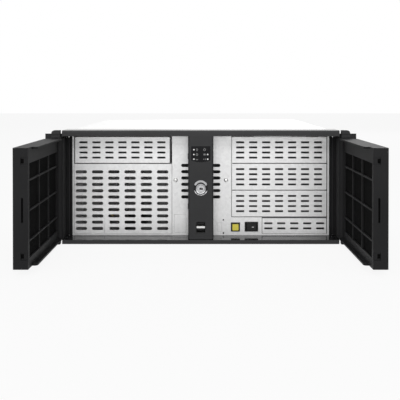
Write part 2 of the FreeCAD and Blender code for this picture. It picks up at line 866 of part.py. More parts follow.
def slotted_cover(name, left, low, width, height, columns, rows):
    """A drive bay cover: a slotted plate with a tab folded back at each end."""
    thick = cell.cover_sheet
    outline = [
        (0, 0), (width, 0), (width, cell.bay_tab), (width - thick, cell.bay_tab),
        (width - thick, thick), (thick, thick), (thick, cell.bay_tab), (0, cell.bay_tab),
    ]
    body = profile(name, "XY_Plane", outline, height)
    first_x = width / 2 - cell.slot_step * (columns - 1) / 2 - cell.slot_length / 2
    first_z = height / 2 - cell.slot_rise * (rows - 1) / 2 - cell.slot_height / 2
    sketch = attach(body, "XZ_Plane", f"{name}_slot_sketch")
    draw_outline(sketch, rectangle(first_x, first_z, cell.slot_length, cell.slot_height))
    hollow = body.newObject("PartDesign::Pocket", f"{name}_slot")
    hollow.Profile = sketch
    bind(hollow, "Length", thick)
    doc.recompute()
    pattern(body, hollow, columns, cell.slot_step, rows, cell.slot_rise)
    place(body, left, panel_y, low)
    return body


def make_bay_covers():
    """Four large covers and one small one."""
    big = (cell.bay_width, cover_height, cell.slot_columns, cell.slot_rows)
    top = cell.bay_top - cover_height
    keep("bay_cover_left", slotted_cover("cover_left", -bay_right, top, *big))
    for number in range(3):
        low = cell.bay_top - cell.bay_pitch * number - cover_height
        cover = slotted_cover(f"cover_right_{number + 1}", bay_left, low, *big)
        keep(f"bay_cover_right_{number + 1}", cover)
    small = (cell.small_bay_width, cell.small_bay_height, cell.small_slot_columns, cell.small_slot_rows)
    left = bay_right - cell.small_bay_width
    keep("small_bay_cover", slotted_cover("cover_small", left, small_floor, *small))


def vent_plate(name, left, low, width, height, columns, rows, first_x):
    """A flat plate with rows of long round-ended slots."""
    body = profile(name, "XZ_Plane", rectangle(left, low, width, height), cell.sheet)
    sketch = attach(body, "XZ_Plane", f"{name}_slot_sketch")
    draw_slot(sketch, (first_x, cell.vent_first_z), cell.vent_slot_length, cell.vent_slot_height)
    hollow = body.newObject("PartDesign::Pocket", f"{name}_slot")
    hollow.Profile = sketch
    bind(hollow, "Length", cell.sheet)
    doc.recompute()
    pattern(body, hollow, columns, cell.vent_slot_step, rows, cell.vent_slot_rise)
    place(body, 0, panel_y, 0)
    return body


def make_vents():
    """The ventilated panel below the left bay, and the small plate let into its corner."""
    left = -frame_half + cell.panel_gap
    right = -cell.vent_inner_x
    top = cell.bay_top - cell.bay_pitch - 0.1
    first_x = -cell.vent_first_x
    plate = vent_plate("vent", left, cell.vent_low, right - left, top - cell.vent_low,
                       cell.vent_columns, cell.vent_rows, first_x)
    corner = (cell.corner_plate_width + cell.seam, cell.sheet, cell.corner_plate_height + cell.seam)
    notch = block("corner_notch", (left, panel_y, cell.vent_low), corner)
    tab_size = (cell.sheet, cell.bay_tab, top - cell.vent_low - cell.corner_plate_height)
    tab_z = cell.vent_low + cell.corner_plate_height
    tab = block("vent_tab", (right - cell.sheet, panel_back, tab_z), tab_size)
    notched = cut("vent_notched", plate, [notch])
    keep("vent_panel", fuse("vent_folded", [notched, tab]))
    small = vent_plate("corner_plate", left, cell.vent_low, cell.corner_plate_width,
                       cell.corner_plate_height, 2, 2, first_x)
    strap = (cell.corner_plate_width + 8, cell.sheet, cell.bay_tab)
    strap_z = cell.vent_low + cell.corner_plate_height - cell.bay_tab / 4
    backing = block("corner_strap", (left, panel_back, strap_z), strap)
    keep("vent_corner_plate", fuse("corner_backed", [small, backing]))


def box_cage(name, left, low, width, height, start, length, slots):
    """An open-ended drive cage folded from sheet, slotted down its sides."""
    thick = cell.sheet
    outline = [
        (0, 0), (width, 0), (width, height), (width - thick, height), (width - thick, thick),
        (thick, thick), (thick, height), (0, height),
    ]
    body = profile(name, "XZ_Plane", outline, length)
    place(body, left, start, low)
    tools = []
    for row in range(slots):
        z = low + cell.drive_slot_rise * (row + 0.5)
        span = (width, length - cell.drive_slot_length / 2, cell.drive_slot_height)
        tools.append(block(f"{name}_slot_{row}", (left, start + cell.drive_slot_length / 4, z), span))
    return cut(f"{name}_slotted", body, tools)


def make_cages():
    """Cages behind the drive bays, the fan bracket, and the hard drive cage on the floor."""
    thick = cell.sheet
    wide = cell.bay_width + thick * 2
    lip_width = panel_half - thick - bay_right - thick
    upper = cell.bay_top - bays_floor
    right = box_cage("cage_right", bay_left - thick, bays_floor - thick, wide, upper + thick,
                     panel_back, cell.cage_depth, 5)
    lip = block("cage_right_lip", (bay_right + thick, panel_back, bays_floor), (lip_width, thick, upper))
    keep("bay_cage_right", fuse("cage_right_lipped", [right, lip]))
    low = cell.bay_top - cell.bay_pitch
    left = box_cage("cage_left", -bay_right - thick, low - thick, wide, cell.bay_pitch + thick,
                    panel_back, cell.cage_depth, 1)
    edge = -panel_half + thick
    lip = block("cage_left_lip", (edge, panel_back, low), (lip_width, thick, cell.bay_pitch))
    keep("bay_cage_left", fuse("cage_left_lipped", [left, lip]))
    small_wide = cell.small_bay_width + thick * 2
    small_left = bay_right - cell.small_bay_width - thick
    small = box_cage("cage_small", small_left, small_floor - thick, small_wide, bays_floor - small_floor,
                     panel_back, cell.small_cage_depth, 1)
    keep("small_bay_cage", small)

    fan_y = tub_y + cell.fan_setback
    fan_left = -cell.fan_x - cell.fan_plate_width / 2
    fan_high = low - thick - thick
    plate = rectangle(0, 0, cell.fan_plate_width, fan_high)
    bracket = profile("fan_plate", "XZ_Plane", plate, thick)
    place(bracket, fan_left, fan_y, thick)
    foot = block("fan_foot", (fan_left, fan_y, thick), (cell.fan_plate_width, cell.bay_tab, thick))
    tools = [rod("fan_bore", (-cell.fan_x, fan_y, cell.fan_z), cell.fan_bore, thick, "y")]
    for number, (across, up) in enumerate(((-1, -1), (1, -1), (-1, 1), (1, 1))):
        x = -cell.fan_x + cell.fan_hole_pitch / 2 * across
        z = cell.fan_z + cell.fan_hole_pitch / 2 * up
        tools.append(rod(f"fan_hole_{number}", (x, fan_y, z), cell.fan_hole, thick, "y"))
    body = fuse("fan_folded", [bracket, foot])
    keep("fan_bracket", cut("fan_open", body, tools))

    start = fan_y + cell.drive_cage_gap
    left_x = cell.drive_cage_left
    drive = box_cage("cage_drive", left_x, thick, cell.drive_cage_width, cell.drive_cage_height,
                     start, cell.drive_cage_depth, 4)
    lip_size = (cell.drive_cage_lip, thick, cell.drive_cage_height)
    far_x = left_x + cell.drive_cage_width - cell.drive_cage_lip
    lips = [
        block("drive_lip_left", (left_x, start, thick), lip_size),
        block("drive_lip_right", (far_x, start, thick), lip_size),
    ]
    keep("drive_cage", fuse("drive_cage_lipped", [drive] + lips))


def window_shape(name, depth):
    """The indicator window's outline: square above, gently arched below."""
    left = -cell.window_width / 2
    box = block(f"{name}_box", (left, face_y, cell.window_low), (cell.window_width, depth, cell.window_height))
    centre = (0, face_y, cell.window_low + cell.window_arch)
    disc = rod(f"{name}_disc", centre, cell.window_arch, depth, "y")
    shape = doc.addObject("Part::Common", name)
    shape.Base = box
    shape.Tool = disc
    return shape


def lamp_rods(name, front, depth):
    """Six small light pipes in two columns."""
    rods = []
    for side, x in (("left", -cell.lamp_x), ("right", cell.lamp_x)):
        for row in range(3):
            z = cell.lamp_low + cell.lamp_rise * row
            rods.append(rod(f"{name}_{side}_{row}", (x, front, z), cell.lamp_radius, depth, "y"))
    return rods


def make_strip():
    """The centre strip: a channel from bar to bar with window, lock and port openings."""
    wall = cell.bezel_wall
    half = strip_half
    low = cell.bottom_bar + cell.ledge_rise
    outline = [
        (-half, face_y), (half, face_y), (half, panel_y), (half - wall, panel_y),
        (half - wall, face_y + wall), (wall - half, face_y + wall), (wall - half, panel_y), (-half, panel_y),
    ]
    rounds = [(0, cell.strip_round), (1, cell.strip_round)]
    channel = profile("strip_channel", "XY_Plane", outline, bars_top - low, rounds)
    place(channel, 0, 0, low)
    pieces = [channel]
    bump = (cell.strip_bump, cell.bump_height, cell.bump_height)
    for name, z in (("high", cell.bump_high), ("low", cell.bump_low)):
        bump_y = face_y + cell.strip_round
        pieces.append(block(f"strip_bump_{name}", (-half - cell.strip_bump, bump_y, z), bump))
    tools = [window_shape("window_opening", wall)]
    tools.append(rod("lock_hole", (0, face_y, cell.lock_z), cell.lock_radius, wall, "y"))
    usb = (cell.usb_width, wall, cell.usb_height)
    tools.append(block("usb_hole", (-cell.usb_width / 2, face_y, cell.usb_low), usb))
    cam_y = face_y + cell.catch_depth_in - cell.cam_thick / 2 - cell.cam_play
    slit = (cell.strip_width, cell.cam_thick + cell.cam_play * 2, cell.cam_sweep * 2)
    tools.append(block("cam_slits", (-half, cam_y, cell.lock_z - cell.cam_sweep), slit))
    keep("centre_strip", cut("strip_open", fuse("strip_body", pieces), tools))

    front = face_y + cell.window_sunk
    pane = window_shape("pane_solid", cell.window_thick)
    pane.Base.setExpression("Placement.Base.y", front.formula)
    pane.Tool.setExpression("Placement.Base.y", front.formula)
    holes = lamp_rods("pane_hole", front, cell.window_thick)
    keep("indicator_window", cut("pane_drilled", pane, holes))
    lamp_front = front - cell.lamp_proud
    lamps = lamp_rods("lamp", lamp_front, cell.lamp_proud + cell.bezel_wall)
    keep("indicator_lamps", group("lamps", lamps))

    shell = block("usb_shell", (-cell.usb_width / 2, face_y, cell.usb_low),
                  (cell.usb_width, cell.usb_depth, cell.usb_height))
    ports = []
    tongues = []
    first = cell.usb_low + (cell.usb_height - cell.port_step - cell.port_height) / 2
    for number in range(2):
        z = first + cell.port_step * number
        port = (cell.port_width, cell.usb_depth - cell.usb_rim, cell.port_height)
        ports.append(block(f"port_{number}", (-cell.port_width / 2, face_y, z), port))
        tongue = (cell.port_width - 1.6, cell.usb_depth - cell.usb_rim, 1.4)
        tongues.append(block(f"tongue_{number}", (0.8 - cell.port_width / 2, face_y + 1, z + 1.8), tongue))
    keep("usb_ports", fuse("usb_joined", [cut("usb_open", shell, ports)] + tongues))


def make_lock():
    """A cam lock whose double-ended cam reaches into both doors' edge walls."""
    z = cell.lock_z
    flange = rod("lock_flange", (0, face_y - cell.lock_flange_thick, z), cell.lock_flange,
                 cell.lock_flange_thick, "y")
    barrel = rod("lock_barrel", (0, face_y, z), cell.lock_radius, cell.lock_length, "y")
    front = face_y - cell.lock_flange_thick
    length = cell.lock_flange_thick + cell.lock_length
    bore = rod("lock_bore", (0, front, z), cell.plug_radius + cell.plug_play, length, "y")
    keep("lock_body", cut("lock_hollow", fuse("lock_solid", [flange, barrel]), [bore]))

    nut_y = face_y + cell.bezel_wall
    nut = prism("nut_hex", (0, nut_y, z), cell.nut_radius, cell.nut_thick, "y")
    hole = rod("nut_hole", (0, nut_y, z), cell.lock_radius, cell.nut_thick, "y")
    keep("lock_nut", cut("nut_drilled", nut, [hole]))

    cam_y = face_y + cell.catch_depth_in - cell.cam_thick / 2
    head_y = front + cell.lamp_proud
    head = rod("plug_head", (0, head_y, z), cell.plug_radius, face_y + cell.lock_length - head_y, "y")
    stub = rod("plug_stub", (0, head_y, z), cell.stub_radius, cam_y + cell.cam_thick - head_y, "y")
    key = block("keyway", (-cell.keyway_width / 2, head_y, z - cell.keyway_length / 2),
                (cell.keyway_width, cell.keyway_depth, cell.keyway_length))
    keep("lock_plug", cut("plug_cut", fuse("plug_solid", [head, stub]), [key]))

    arm = block("cam_arm", (-cell.cam_width / 2, cam_y, z - cell.cam_reach),
                (cell.cam_width, cell.cam_thick, cell.cam_reach * 2))
    hub = rod("cam_hub", (0, cam_y, z), cell.stub_radius + cell.bezel_wall, cell.cam_thick, "y")
    eye = rod("cam_eye", (0, cam_y, z), cell.stub_radius, cell.cam_thick, "y")
    keep("lock_cam", cut("cam_drilled", fuse("cam_solid", [arm, hub]), [eye]))


def make_controls():
    """The push button and the rocker switch at the foot of the front panel."""
    front = panel_y - cell.control_proud
    deep = cell.control_depth
    side = cell.button_frame
    inner = side / 2 - 1
    x, z = cell.button_x, cell.button_z
    rim = block("button_rim", (x - side / 2, front, z - side / 2), (side, cell.control_proud, side))
    can = block("button_can", (x - inner, panel_y, z - inner), (inner * 2, deep, inner * 2))
    room = cell.button_cap / 2 + cell.button_play
    well = block("button_well", (x - room, front, z - room),
                 (room * 2, deep + cell.control_proud - 1, room * 2))
    keep("push_button_frame", cut("button_hollow", fuse("button_housing", [rim, can]), [well]))
    cap = cell.button_cap
    corners = rectangle(x - cap / 2, z - cap / 2, cap, cap)
    length = cell.button_proud + deep - 1 - cell.button_travel - 1
    body = profile("button_cap_body", "XZ_Plane", corners, length, [(n, cell.bend_radius) for n in range(4)])
    keep("push_button", place(body, 0, panel_y - cell.button_proud, 0))

    x, z = cell.rocker_x, cell.rocker_z
    wide, tall = cell.rocker_width, cell.rocker_height
    rim = block("switch_rim", (x - wide / 2, front, z - tall / 2), (wide, cell.control_proud, tall))
    can = block("switch_can", (x - wide / 2 + 1, panel_y, z - tall / 2 + 1), (wide - 2, deep, tall - 2))
    edge = cell.rocker_rim
    well = block("switch_well", (x - wide / 2 + edge, front, z - tall / 2 + edge),
                 (wide - edge * 2, deep + cell.control_proud - 1, tall - edge * 2))
    pivot_y = panel_y + cell.rocker_pivot_in
    room = tall / 2 - edge
    reach = room + cell.trunnion_reach - 0.1
    bearing = rod("switch_bearing", (x, pivot_y, z - room - cell.trunnion_reach),
                  cell.trunnion + cell.trunnion_play, (room + cell.trunnion_reach) * 2)
    keep("switch_frame", cut("switch_hollow", fuse("switch_housing", [rim, can]), [well, bearing]))
    half = wide / 2 - edge - cell.rocker_play
    outline = [
        (-half, -cell.rocker_rise), (0, -cell.rocker_rise), (half, -cell.rocker_peak),
        (half, cell.rocker_back), (0, cell.rocker_back * 2), (-half, cell.rocker_back),
    ]
    height = room * 2 - 0.6
    rocker = profile("rocker_wedge", "XY_Plane", outline, height)
    place(rocker, x, pivot_y, z - height / 2)
    trunnion = rod("rocker_trunnion", (x, pivot_y, z - reach), cell.trunnion, reach * 2)
    keep("switch_rocker", fuse("rocker_solid", [rocker, trunnion]))


def make_cover():
    """The lift-off top cover with a skirt down each side and a rear lip, and its thumbscrews."""
    thick = cell.sheet
    under = cell.case_height - thick
    wide = half_width + cell.cover_play
    outline = [
        (-wide - thick, cell.case_height - cell.cover_skirt), (-wide, cell.case_height - cell.cover_skirt),
        (-wide, under), (wide, under), (wide, cell.case_height - cell.cover_skirt),
        (wide + thick, cell.case_height - cell.cover_skirt), (wide + thick, cell.case_height),
        (-wide - thick, cell.case_height),
    ]
    rounds = [(6, cell.bend_radius), (7, cell.bend_radius)]
    fold = profile("cover_fold", "XZ_Plane", outline, rear_y + thick - cell.cover_start, rounds)
    place(fold, 0, cell.cover_start, 0)
    front_y = tub_y - 1
    front = block("cover_front", (-half_width, front_y, under), (half_width * 2, cell.cover_start - front_y, thick))
    lip_x = cell.thumb_x + cell.thumb_radius * 2
    lip = block("cover_lip", (-lip_x, rear_y, under - cell.cover_lip), (lip_x * 2, thick, cell.cover_lip))
    holes = thumb_rods("cover_hole", rear_y, cell.thumb_shank, thick)
    keep("top_cover", cut("cover_drilled", fuse("cover_sheet", [fold, front, lip]), holes))
    start = rear_y + thick
    shanks = thumb_rods("thumb_shank", start - cell.thumb_reach, cell.thumb_shank, cell.thumb_reach)
    heads = thumb_rods("thumb_head", start, cell.thumb_radius, cell.thumb_height)
    screws = [fuse(f"thumb_{number}", pair) for number, pair in enumerate(zip(shanks, heads))]
    keep("cover_thumbscrews", group("thumbscrews", screws))


def thumb_rods(name, start, radius, length):
    """One rod at each thumbscrew's place."""
    z = cell.case_height - cell.sheet - cell.cover_lip / 2
    places = (("left", -cell.thumb_x), ("right", cell.thumb_x))
    return [rod(f"{name}_{side}", (x, start, z), radius, length, "y") for side, x in places]


def make_rear():
    """The rear panel with its port, card, power supply and vent openings."""
    thick = cell.sheet
    high = cell.case_height - thick
    start = rear_y - thick
    plate = rectangle(-inner_half, thick, inner_half * 2, high - thick)
    body = profile("rear_plate", "XZ_Plane", plate, thick)
    place(body, 0, start, 0)
    tools = []

    def window(name, left, low, width, height):
        tools.append(block(name, (left, start, low), (width, thick, height)))

    window("port_opening", cell.board_x, cell.board_lift, cell.port_opening_width, cell.port_opening_height)
    window("supply_opening", cell.supply_x, cell.supply_z, cell.supply_width, cell.supply_height)
    for number in range(int(cell.card_count.value)):
        x = cell.card_first_x - cell.card_pitch * number - cell.card_slot_width / 2
        window(f"card_slot_{number}", x, cell.card_slot_low, cell.card_slot_width, cell.card_slot_height)
    for column in range(2):
        for row in range(int(cell.rear_vent_rows.value)):
            x = cell.rear_vent_x + cell.rear_vent_step * column
            z = cell.rear_vent_low + cell.rear_vent_rise * row
            window(f"rear_vent_{column}_{row}", x, z, cell.rear_vent_length, cell.rear_vent_height)
    radius = cell.thumb_shank + cell.thumb_play
    tools += thumb_rods("rear_hole", start, radius, thick)
    keep("rear_panel", cut("rear_open", body, tools))

    covers = []
    low = cell.card_slot_low - (cell.bracket_height - cell.card_slot_height) / 2
    flat = cell.bracket_sheet
    side_view = [
        (0, 0), (flat, 0), (flat, cell.bracket_height), (flat - cell.bracket_tab, cell.bracket_height),
        (flat - cell.bracket_tab, cell.bracket_height - flat), (0, cell.bracket_height - flat),
    ]
    for number in range(int(cell.card_count.value)):
        cover = profile(f"card_cover_{number}", "YZ_Plane", side_view, cell.bracket_width)
        x = cell.card_first_x - cell.card_pitch * number - cell.bracket_width / 2
        covers.append(place(cover, x, start - flat, low))
    keep("card_slot_covers", group("card_covers", covers))


BOARD_COLUMNS = (0, 124.46, 281.94)
BOARD_ROWS = (0, 154.94, 227.33)


def make_fasteners():
    """Board standoffs on the floor, and the pan-head screws in the ears and front panel."""
    posts = []
    right = cell.board_x + cell.port_opening_width
    back = rear_y - 18
    for column, across in enumerate(BOARD_COLUMNS):
        for row, along in enumerate(BOARD_ROWS):
            foot = (right - across, back - along, cell.sheet)
            posts.append(prism(f"post_{column}_{row}", foot, cell.standoff_radius, cell.standoff_height))
    keep("board_standoffs", group("posts", posts))
    screws = []
    shanks = ear_screw_shanks("screw")
    outer = half_width + cell.ear_thick
    for number, (y, z) in enumerate(ear_screw_places()):
        right_head = rod(f"head_r{number}", (outer, y, z), cell.screw_head, cell.screw_head_thick, "x")
        left_x = -outer - cell.screw_head_thick
        left_head = rod(f"head_l{number}", (left_x, y, z), cell.screw_head, cell.screw_head_thick, "x")
        screws.append(fuse(f"ear_screw_r{number}", [right_head, shanks[number * 2]]))
        screws.append(fuse(f"ear_screw_l{number}", [left_head, shanks[number * 2 + 1]]))
    for number, shank in enumerate(panel_screw_shanks("front")):
        x = cell.panel_screw_x * (1 if number else -1)
        start = panel_y - cell.screw_head_thick
        foot = (x, start, cell.panel_screw_z)
        head = rod(f"front_head_{number}", foot, cell.screw_head, cell.screw_head_thick, "y")
        screws.append(fuse(f"front_screw_{number}", [head, shank]))
    keep("case_screws", group("screws", screws))


def check_and_write():
    """Stop if any object failed, then write one file for each sub-part."""
    doc.recompute()
    for thing in doc.Objects:
        if "Invalid" in thing.State or "Error" in thing.State:
            raise RuntimeError(f"{thing.Name} did not build")
    os.makedirs("parts", exist_ok=True)
    for thing in PARTS:
        if thing.Shape.isNull() or not thing.Shape.isValid():
            raise RuntimeError(f"{thing.Label} has no valid shape")
    for thing in PARTS:
        thing.Shape.exportStep(f"parts/{thing.Label}.step")


make_tub()
make_ears()
make_grips()
make_bezel()
make_hinge_pins()
make_doors()
make_filters()
make_front_panel()
make_bay_covers()
make_vents()
make_cages()
make_strip()
make_lock()
make_controls()
make_cover()
make_rear()
make_fasteners()
check_and_write()
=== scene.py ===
import json
import math

import bmesh
import bpy
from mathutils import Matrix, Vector


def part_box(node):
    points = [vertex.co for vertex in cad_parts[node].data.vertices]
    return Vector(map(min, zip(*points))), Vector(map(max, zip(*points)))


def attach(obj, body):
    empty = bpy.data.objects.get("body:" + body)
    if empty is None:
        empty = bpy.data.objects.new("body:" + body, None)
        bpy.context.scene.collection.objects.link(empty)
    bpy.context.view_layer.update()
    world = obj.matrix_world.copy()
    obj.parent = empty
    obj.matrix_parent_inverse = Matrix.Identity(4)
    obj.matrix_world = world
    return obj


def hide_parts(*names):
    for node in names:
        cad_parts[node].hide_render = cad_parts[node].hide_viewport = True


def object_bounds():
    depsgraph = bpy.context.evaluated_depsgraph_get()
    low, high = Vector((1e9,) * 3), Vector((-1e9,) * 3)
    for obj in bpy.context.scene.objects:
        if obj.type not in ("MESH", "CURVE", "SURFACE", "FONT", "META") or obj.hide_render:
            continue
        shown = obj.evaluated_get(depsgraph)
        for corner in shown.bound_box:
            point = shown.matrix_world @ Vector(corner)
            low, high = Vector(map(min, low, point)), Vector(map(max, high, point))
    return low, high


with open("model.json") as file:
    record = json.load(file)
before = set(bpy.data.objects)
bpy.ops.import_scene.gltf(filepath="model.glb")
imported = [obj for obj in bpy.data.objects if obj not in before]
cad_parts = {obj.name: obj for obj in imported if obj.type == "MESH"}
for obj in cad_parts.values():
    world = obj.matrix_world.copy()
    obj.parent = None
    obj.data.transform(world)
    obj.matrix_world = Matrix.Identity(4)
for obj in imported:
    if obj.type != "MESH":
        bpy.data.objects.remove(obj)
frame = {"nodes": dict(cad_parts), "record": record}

CAD_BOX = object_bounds()
NODES = frame["nodes"]
MM = 0.001
WELD = 0.001 * MM


# ---------------------------------------------------------------- materials

def new_material(name):
    """An empty node material with its output and one Principled shader."""
    material = bpy.data.materials.new(name)
    material.use_nodes = True
    nodes = material.node_tree.nodes
    nodes.clear()
    output = nodes.new("ShaderNodeOutputMaterial")
    shader = nodes.new("ShaderNodeBsdfPrincipled")
    material.node_tree.links.new(shader.outputs[0], output.inputs["Surface"])
    return material, shader


def node(material, kind, **values):
    """One more node, with its inputs or properties set by name."""
    made = material.node_tree.nodes.new(kind)
    for key, value in values.items():
        if key in made.inputs:
            made.inputs[key].default_value = value
        else:
            setattr(made, key, value)
    return made


def join(material, source, target):
    material.node_tree.links.new(source, target)


def place_input(material, scale=(1, 1, 1)):
    """Object coordinates in metres, stretched by scale."""
    coordinates = node(material, "ShaderNodeTexCoord")
    mapping = node(material, "ShaderNodeMapping")
    mapping.inputs["Scale"].default_value = scale
    join(material, coordinates.outputs["Object"], mapping.inputs["Vector"])
    return mapping.outputs["Vector"]


def ramp(material, source, stops):
    """A colour ramp of (position, grey or colour) stops."""
    made = node(material, "ShaderNodeValToRGB")
    elements = made.color_ramp.elements
    while len(elements) < len(stops):
        elements.new(0.5)
    for element, (position, colour) in zip(elements, stops):
        element.position = position
        if isinstance(colour, (int, float)):
            colour = (colour, colour, colour)
        element.color = (*colour, 1)
    join(material, source, made.inputs["Fac"])
    return made.outputs["Color"]


def spread_between(material, source, lowest, highest):
    """A texture's 0 to 1 spread between two values."""
    spread = node(material, "ShaderNodeMapRange")
    spread.inputs["To Min"].default_value = lowest
    spread.inputs["To Max"].default_value = highest
    join(material, source, spread.inputs["Value"])
    return spread.outputs["Result"]


def bump(material, shader, height, strength, distance):
    made = node(material, "ShaderNodeBump", Strength=strength, Distance=distance)
    join(material, height, made.inputs["Height"])
    join(material, made.outputs["Normal"], shader.inputs["Normal"])


SPANGLE_SCALE = 260.0
CLOUD_SCALE = 38.0
ROLLED_SCALE = 1100.0
DRIFT_SCALE = 14.0
WIPE_SCALE = 400.0
PORE_SCALE = 700.0
LEVEL_FACE = 0.99


def galvanised(name, light, dark, rough, metal=0.45):
    """Zinc-coated sheet: faint soft spangles, a fine rolled grain and a satin sheen."""
    material, shader = new_material(name)
    vector = place_input(material)
    spangle = node(material, "ShaderNodeTexVoronoi", Scale=SPANGLE_SCALE, Randomness=1.0)
    cloud = node(material, "ShaderNodeTexNoise", Scale=CLOUD_SCALE, Detail=5.0, Roughness=0.65)
    grain = node(material, "ShaderNodeTexNoise", Scale=ROLLED_SCALE, Detail=3.0, Roughness=0.6)
    for texture in (spangle, cloud, grain):
        join(material, vector, texture.inputs["Vector"])
    flake = node(material, "ShaderNodeSeparateColor")
    join(material, spangle.outputs["Color"], flake.inputs["Color"])
    soft = node(material, "ShaderNodeMix", data_type="FLOAT", Factor=0.6)
    join(material, flake.outputs["Red"], soft.inputs["A"])
    join(material, cloud.outputs["Fac"], soft.inputs["B"])
    fine = node(material, "ShaderNodeMix", data_type="FLOAT", Factor=0.35)
    join(material, soft.outputs["Result"], fine.inputs["A"])
    join(material, grain.outputs["Fac"], fine.inputs["B"])
    colour = ramp(material, fine.outputs["Result"], [(0.3, dark), (0.7, light)])
    join(material, colour, shader.inputs["Base Color"])
    join(material, spread_between(material, cloud.outputs["Fac"], rough - 0.05, rough + 0.07),
         shader.inputs["Roughness"])
    shader.inputs["Metallic"].default_value = metal
    bump(material, shader, grain.outputs["Fac"], 0.2, 0.00006)
    return material


def moulded(name, colour, rough, grain_scale, grain_depth, speck=0.25, gloss=0.5, top_rough=None):
    """Moulded plastic with a fine spark-eroded grain and slight colour drift.

    top_rough is the roughness of faces that look straight up, where they are polished."""
    material, shader = new_material(name)
    vector = place_input(material)
    drift = node(material, "ShaderNodeTexNoise", Scale=DRIFT_SCALE, Detail=3.0)
    grain = node(material, "ShaderNodeTexNoise", Scale=grain_scale, Detail=3.0, Roughness=0.6)
    for texture in (drift, grain):
        join(material, vector, texture.inputs["Vector"])
    low = tuple(channel * (1 - speck) for channel in colour)
    high = tuple(channel * (1 + speck) for channel in colour)
    tint = ramp(material, drift.outputs["Fac"], [(0.3, low), (0.7, high)])
    join(material, tint, shader.inputs["Base Color"])
    roughness = spread_between(material, grain.outputs["Fac"], rough - 0.06, rough + 0.06)
    if top_rough is not None:
        facing = node(material, "ShaderNodeNewGeometry")
        up = node(material, "ShaderNodeSeparateXYZ")
        join(material, facing.outputs["True Normal"], up.inputs["Vector"])
        flat = node(material, "ShaderNodeMath", operation="GREATER_THAN")
        flat.inputs[1].default_value = LEVEL_FACE
        join(material, up.outputs["Z"], flat.inputs[0])
        mixed = node(material, "ShaderNodeMix", data_type="FLOAT")
        join(material, flat.outputs[0], mixed.inputs["Factor"])
        join(material, roughness, mixed.inputs["A"])
        mixed.inputs["B"].default_value = top_rough
        roughness = mixed.outputs["Result"]
    join(material, roughness, shader.inputs["Roughness"])
    shader.inputs["Specular IOR Level"].default_value = gloss
    bump(material, shader, grain.outputs["Fac"], 0.5, grain_depth)
    return material


def plated(name, colour, rough, brushed=(1, 1, 1)):
    """Bright plated metal with faint wipe marks."""
    material, shader = new_material(name)
    vector = place_input(material, brushed)
    marks = node(material, "ShaderNodeTexNoise", Scale=WIPE_SCALE, Detail=3.0)
    join(material, vector, marks.inputs["Vector"])
    low = tuple(channel * 0.88 for channel in colour)
    tint = ramp(material, marks.outputs["Fac"], [(0.35, low), (0.65, colour)])
    join(material, tint, shader.inputs["Base Color"])
    join(material, spread_between(material, marks.outputs["Fac"], rough * 0.7, rough * 1.3),
         shader.inputs["Roughness"])
    shader.inputs["Metallic"].default_value = 1.0
    bump(material, shader, marks.outputs["Fac"], 0.1, 0.00004)
    return material


def foam(name):
    """Open-cell filter foam: black, with small pores whose middles are painted darker as shade in the holes.
    """
    material, shader = new_material(name)
    vector = place_input(material)
    pores = node(material, "ShaderNodeTexVoronoi", Scale=PORE_SCALE)
    pores.feature = "DISTANCE_TO_EDGE"
    cloud = node(material, "ShaderNodeTexNoise", Scale=60.0, Detail=3.0)
    join(material, vector, pores.inputs["Vector"])
    join(material, vector, cloud.inputs["Vector"])
    # Painted shade: each pore is darker towards its middle, as the shade inside the hole.
    colour = ramp(material, pores.outputs["Distance"], [(0.0, 0.007), (0.25, 0.002)])
    join(material, colour, shader.inputs["Base Color"])
    shader.inputs["Roughness"].default_value = 1.0
    shader.inputs["Specular IOR Level"].default_value = 0.05
    bump(material, shader, pores.outputs["Distance"], 1.0, 0.0006)
    return material


MATERIALS = {
    "zinc_sheet": galvanised("zinc_sheet", 0.80, 0.70, 0.42),
    "black_metal": moulded("black_metal", (0.012, 0.012, 0.013), 0.45, 1400.0, 0.00004, gloss=0.2),
    "black_plastic": moulded("black_plastic", (0.017, 0.017, 0.018), 0.5, 1100.0, 0.00002, gloss=0.3),
    "retainer_plastic": moulded("retainer_plastic", (0.012, 0.012, 0.0125), 0.55, 1200.0, 0.00003,
                                gloss=0.15),
    "filter_foam": foam("filter_foam"),
    "bright_steel": plated("bright_steel", (0.72, 0.72, 0.71), 0.3, (1, 1, 6)),
    "chrome_plate": plated("chrome_plate", (0.50, 0.50, 0.51), 0.24),
    "smoked_window": moulded("smoked_window", (0.005, 0.005, 0.006), 0.3, 300.0, 0.00001, gloss=0.12),
    "lamp_lens": moulded("lamp_lens", (0.92, 0.92, 0.92), 0.2, 600.0, 0.00001, 0.03),
    "yellow_cap": moulded("yellow_cap", (0.80, 0.70, 0.085), 0.34, 300.0, 0.000002, 0.04),
    "control_black": moulded("control_black", (0.008, 0.008, 0.008), 0.35, 900.0, 0.00002, gloss=0.25),
    "brass_post": plated("brass_post", (0.78, 0.58, 0.25), 0.28),
    "symbol_print": moulded("symbol_print", (0.17, 0.17, 0.17), 0.5, 900.0, 0.00002, 0.08),
    "door_plastic": moulded("door_plastic", (0.008, 0.008, 0.0085), 0.55, 1100.0, 0.00003, gloss=0.16),
    "bezel_plastic": moulded("bezel_plastic", (0.015, 0.015, 0.016), 0.5, 1100.0, 0.00001, gloss=0.35,
                             top_rough=0.12),
    # A dark copy of the zinc sheet for pieces inside the case: painted shade, the same zinc darkened as if in
    # shadow.
    "painted_shade_zinc": galvanised("painted_shade_zinc", 0.10, 0.07, 0.55, 0.2),
    # A lighter, fully metallic copy of the zinc sheet for the lid: a painted highlight that makes its top
    # read near white.
    "lid_zinc_painted_highlight": galvanised("lid_zinc_painted_highlight", 0.95, 0.88, 0.3, 1.0),
    "white_print": moulded("white_print", (0.78, 0.78, 0.78), 0.5, 900.0, 0.00002, 0.05),
}

for part in frame["record"]["subparts"]:
    shown = NODES[part["node"]]
    shown.data.materials.clear()
    shown.data.materials.append(MATERIALS[part["material_slot"]])

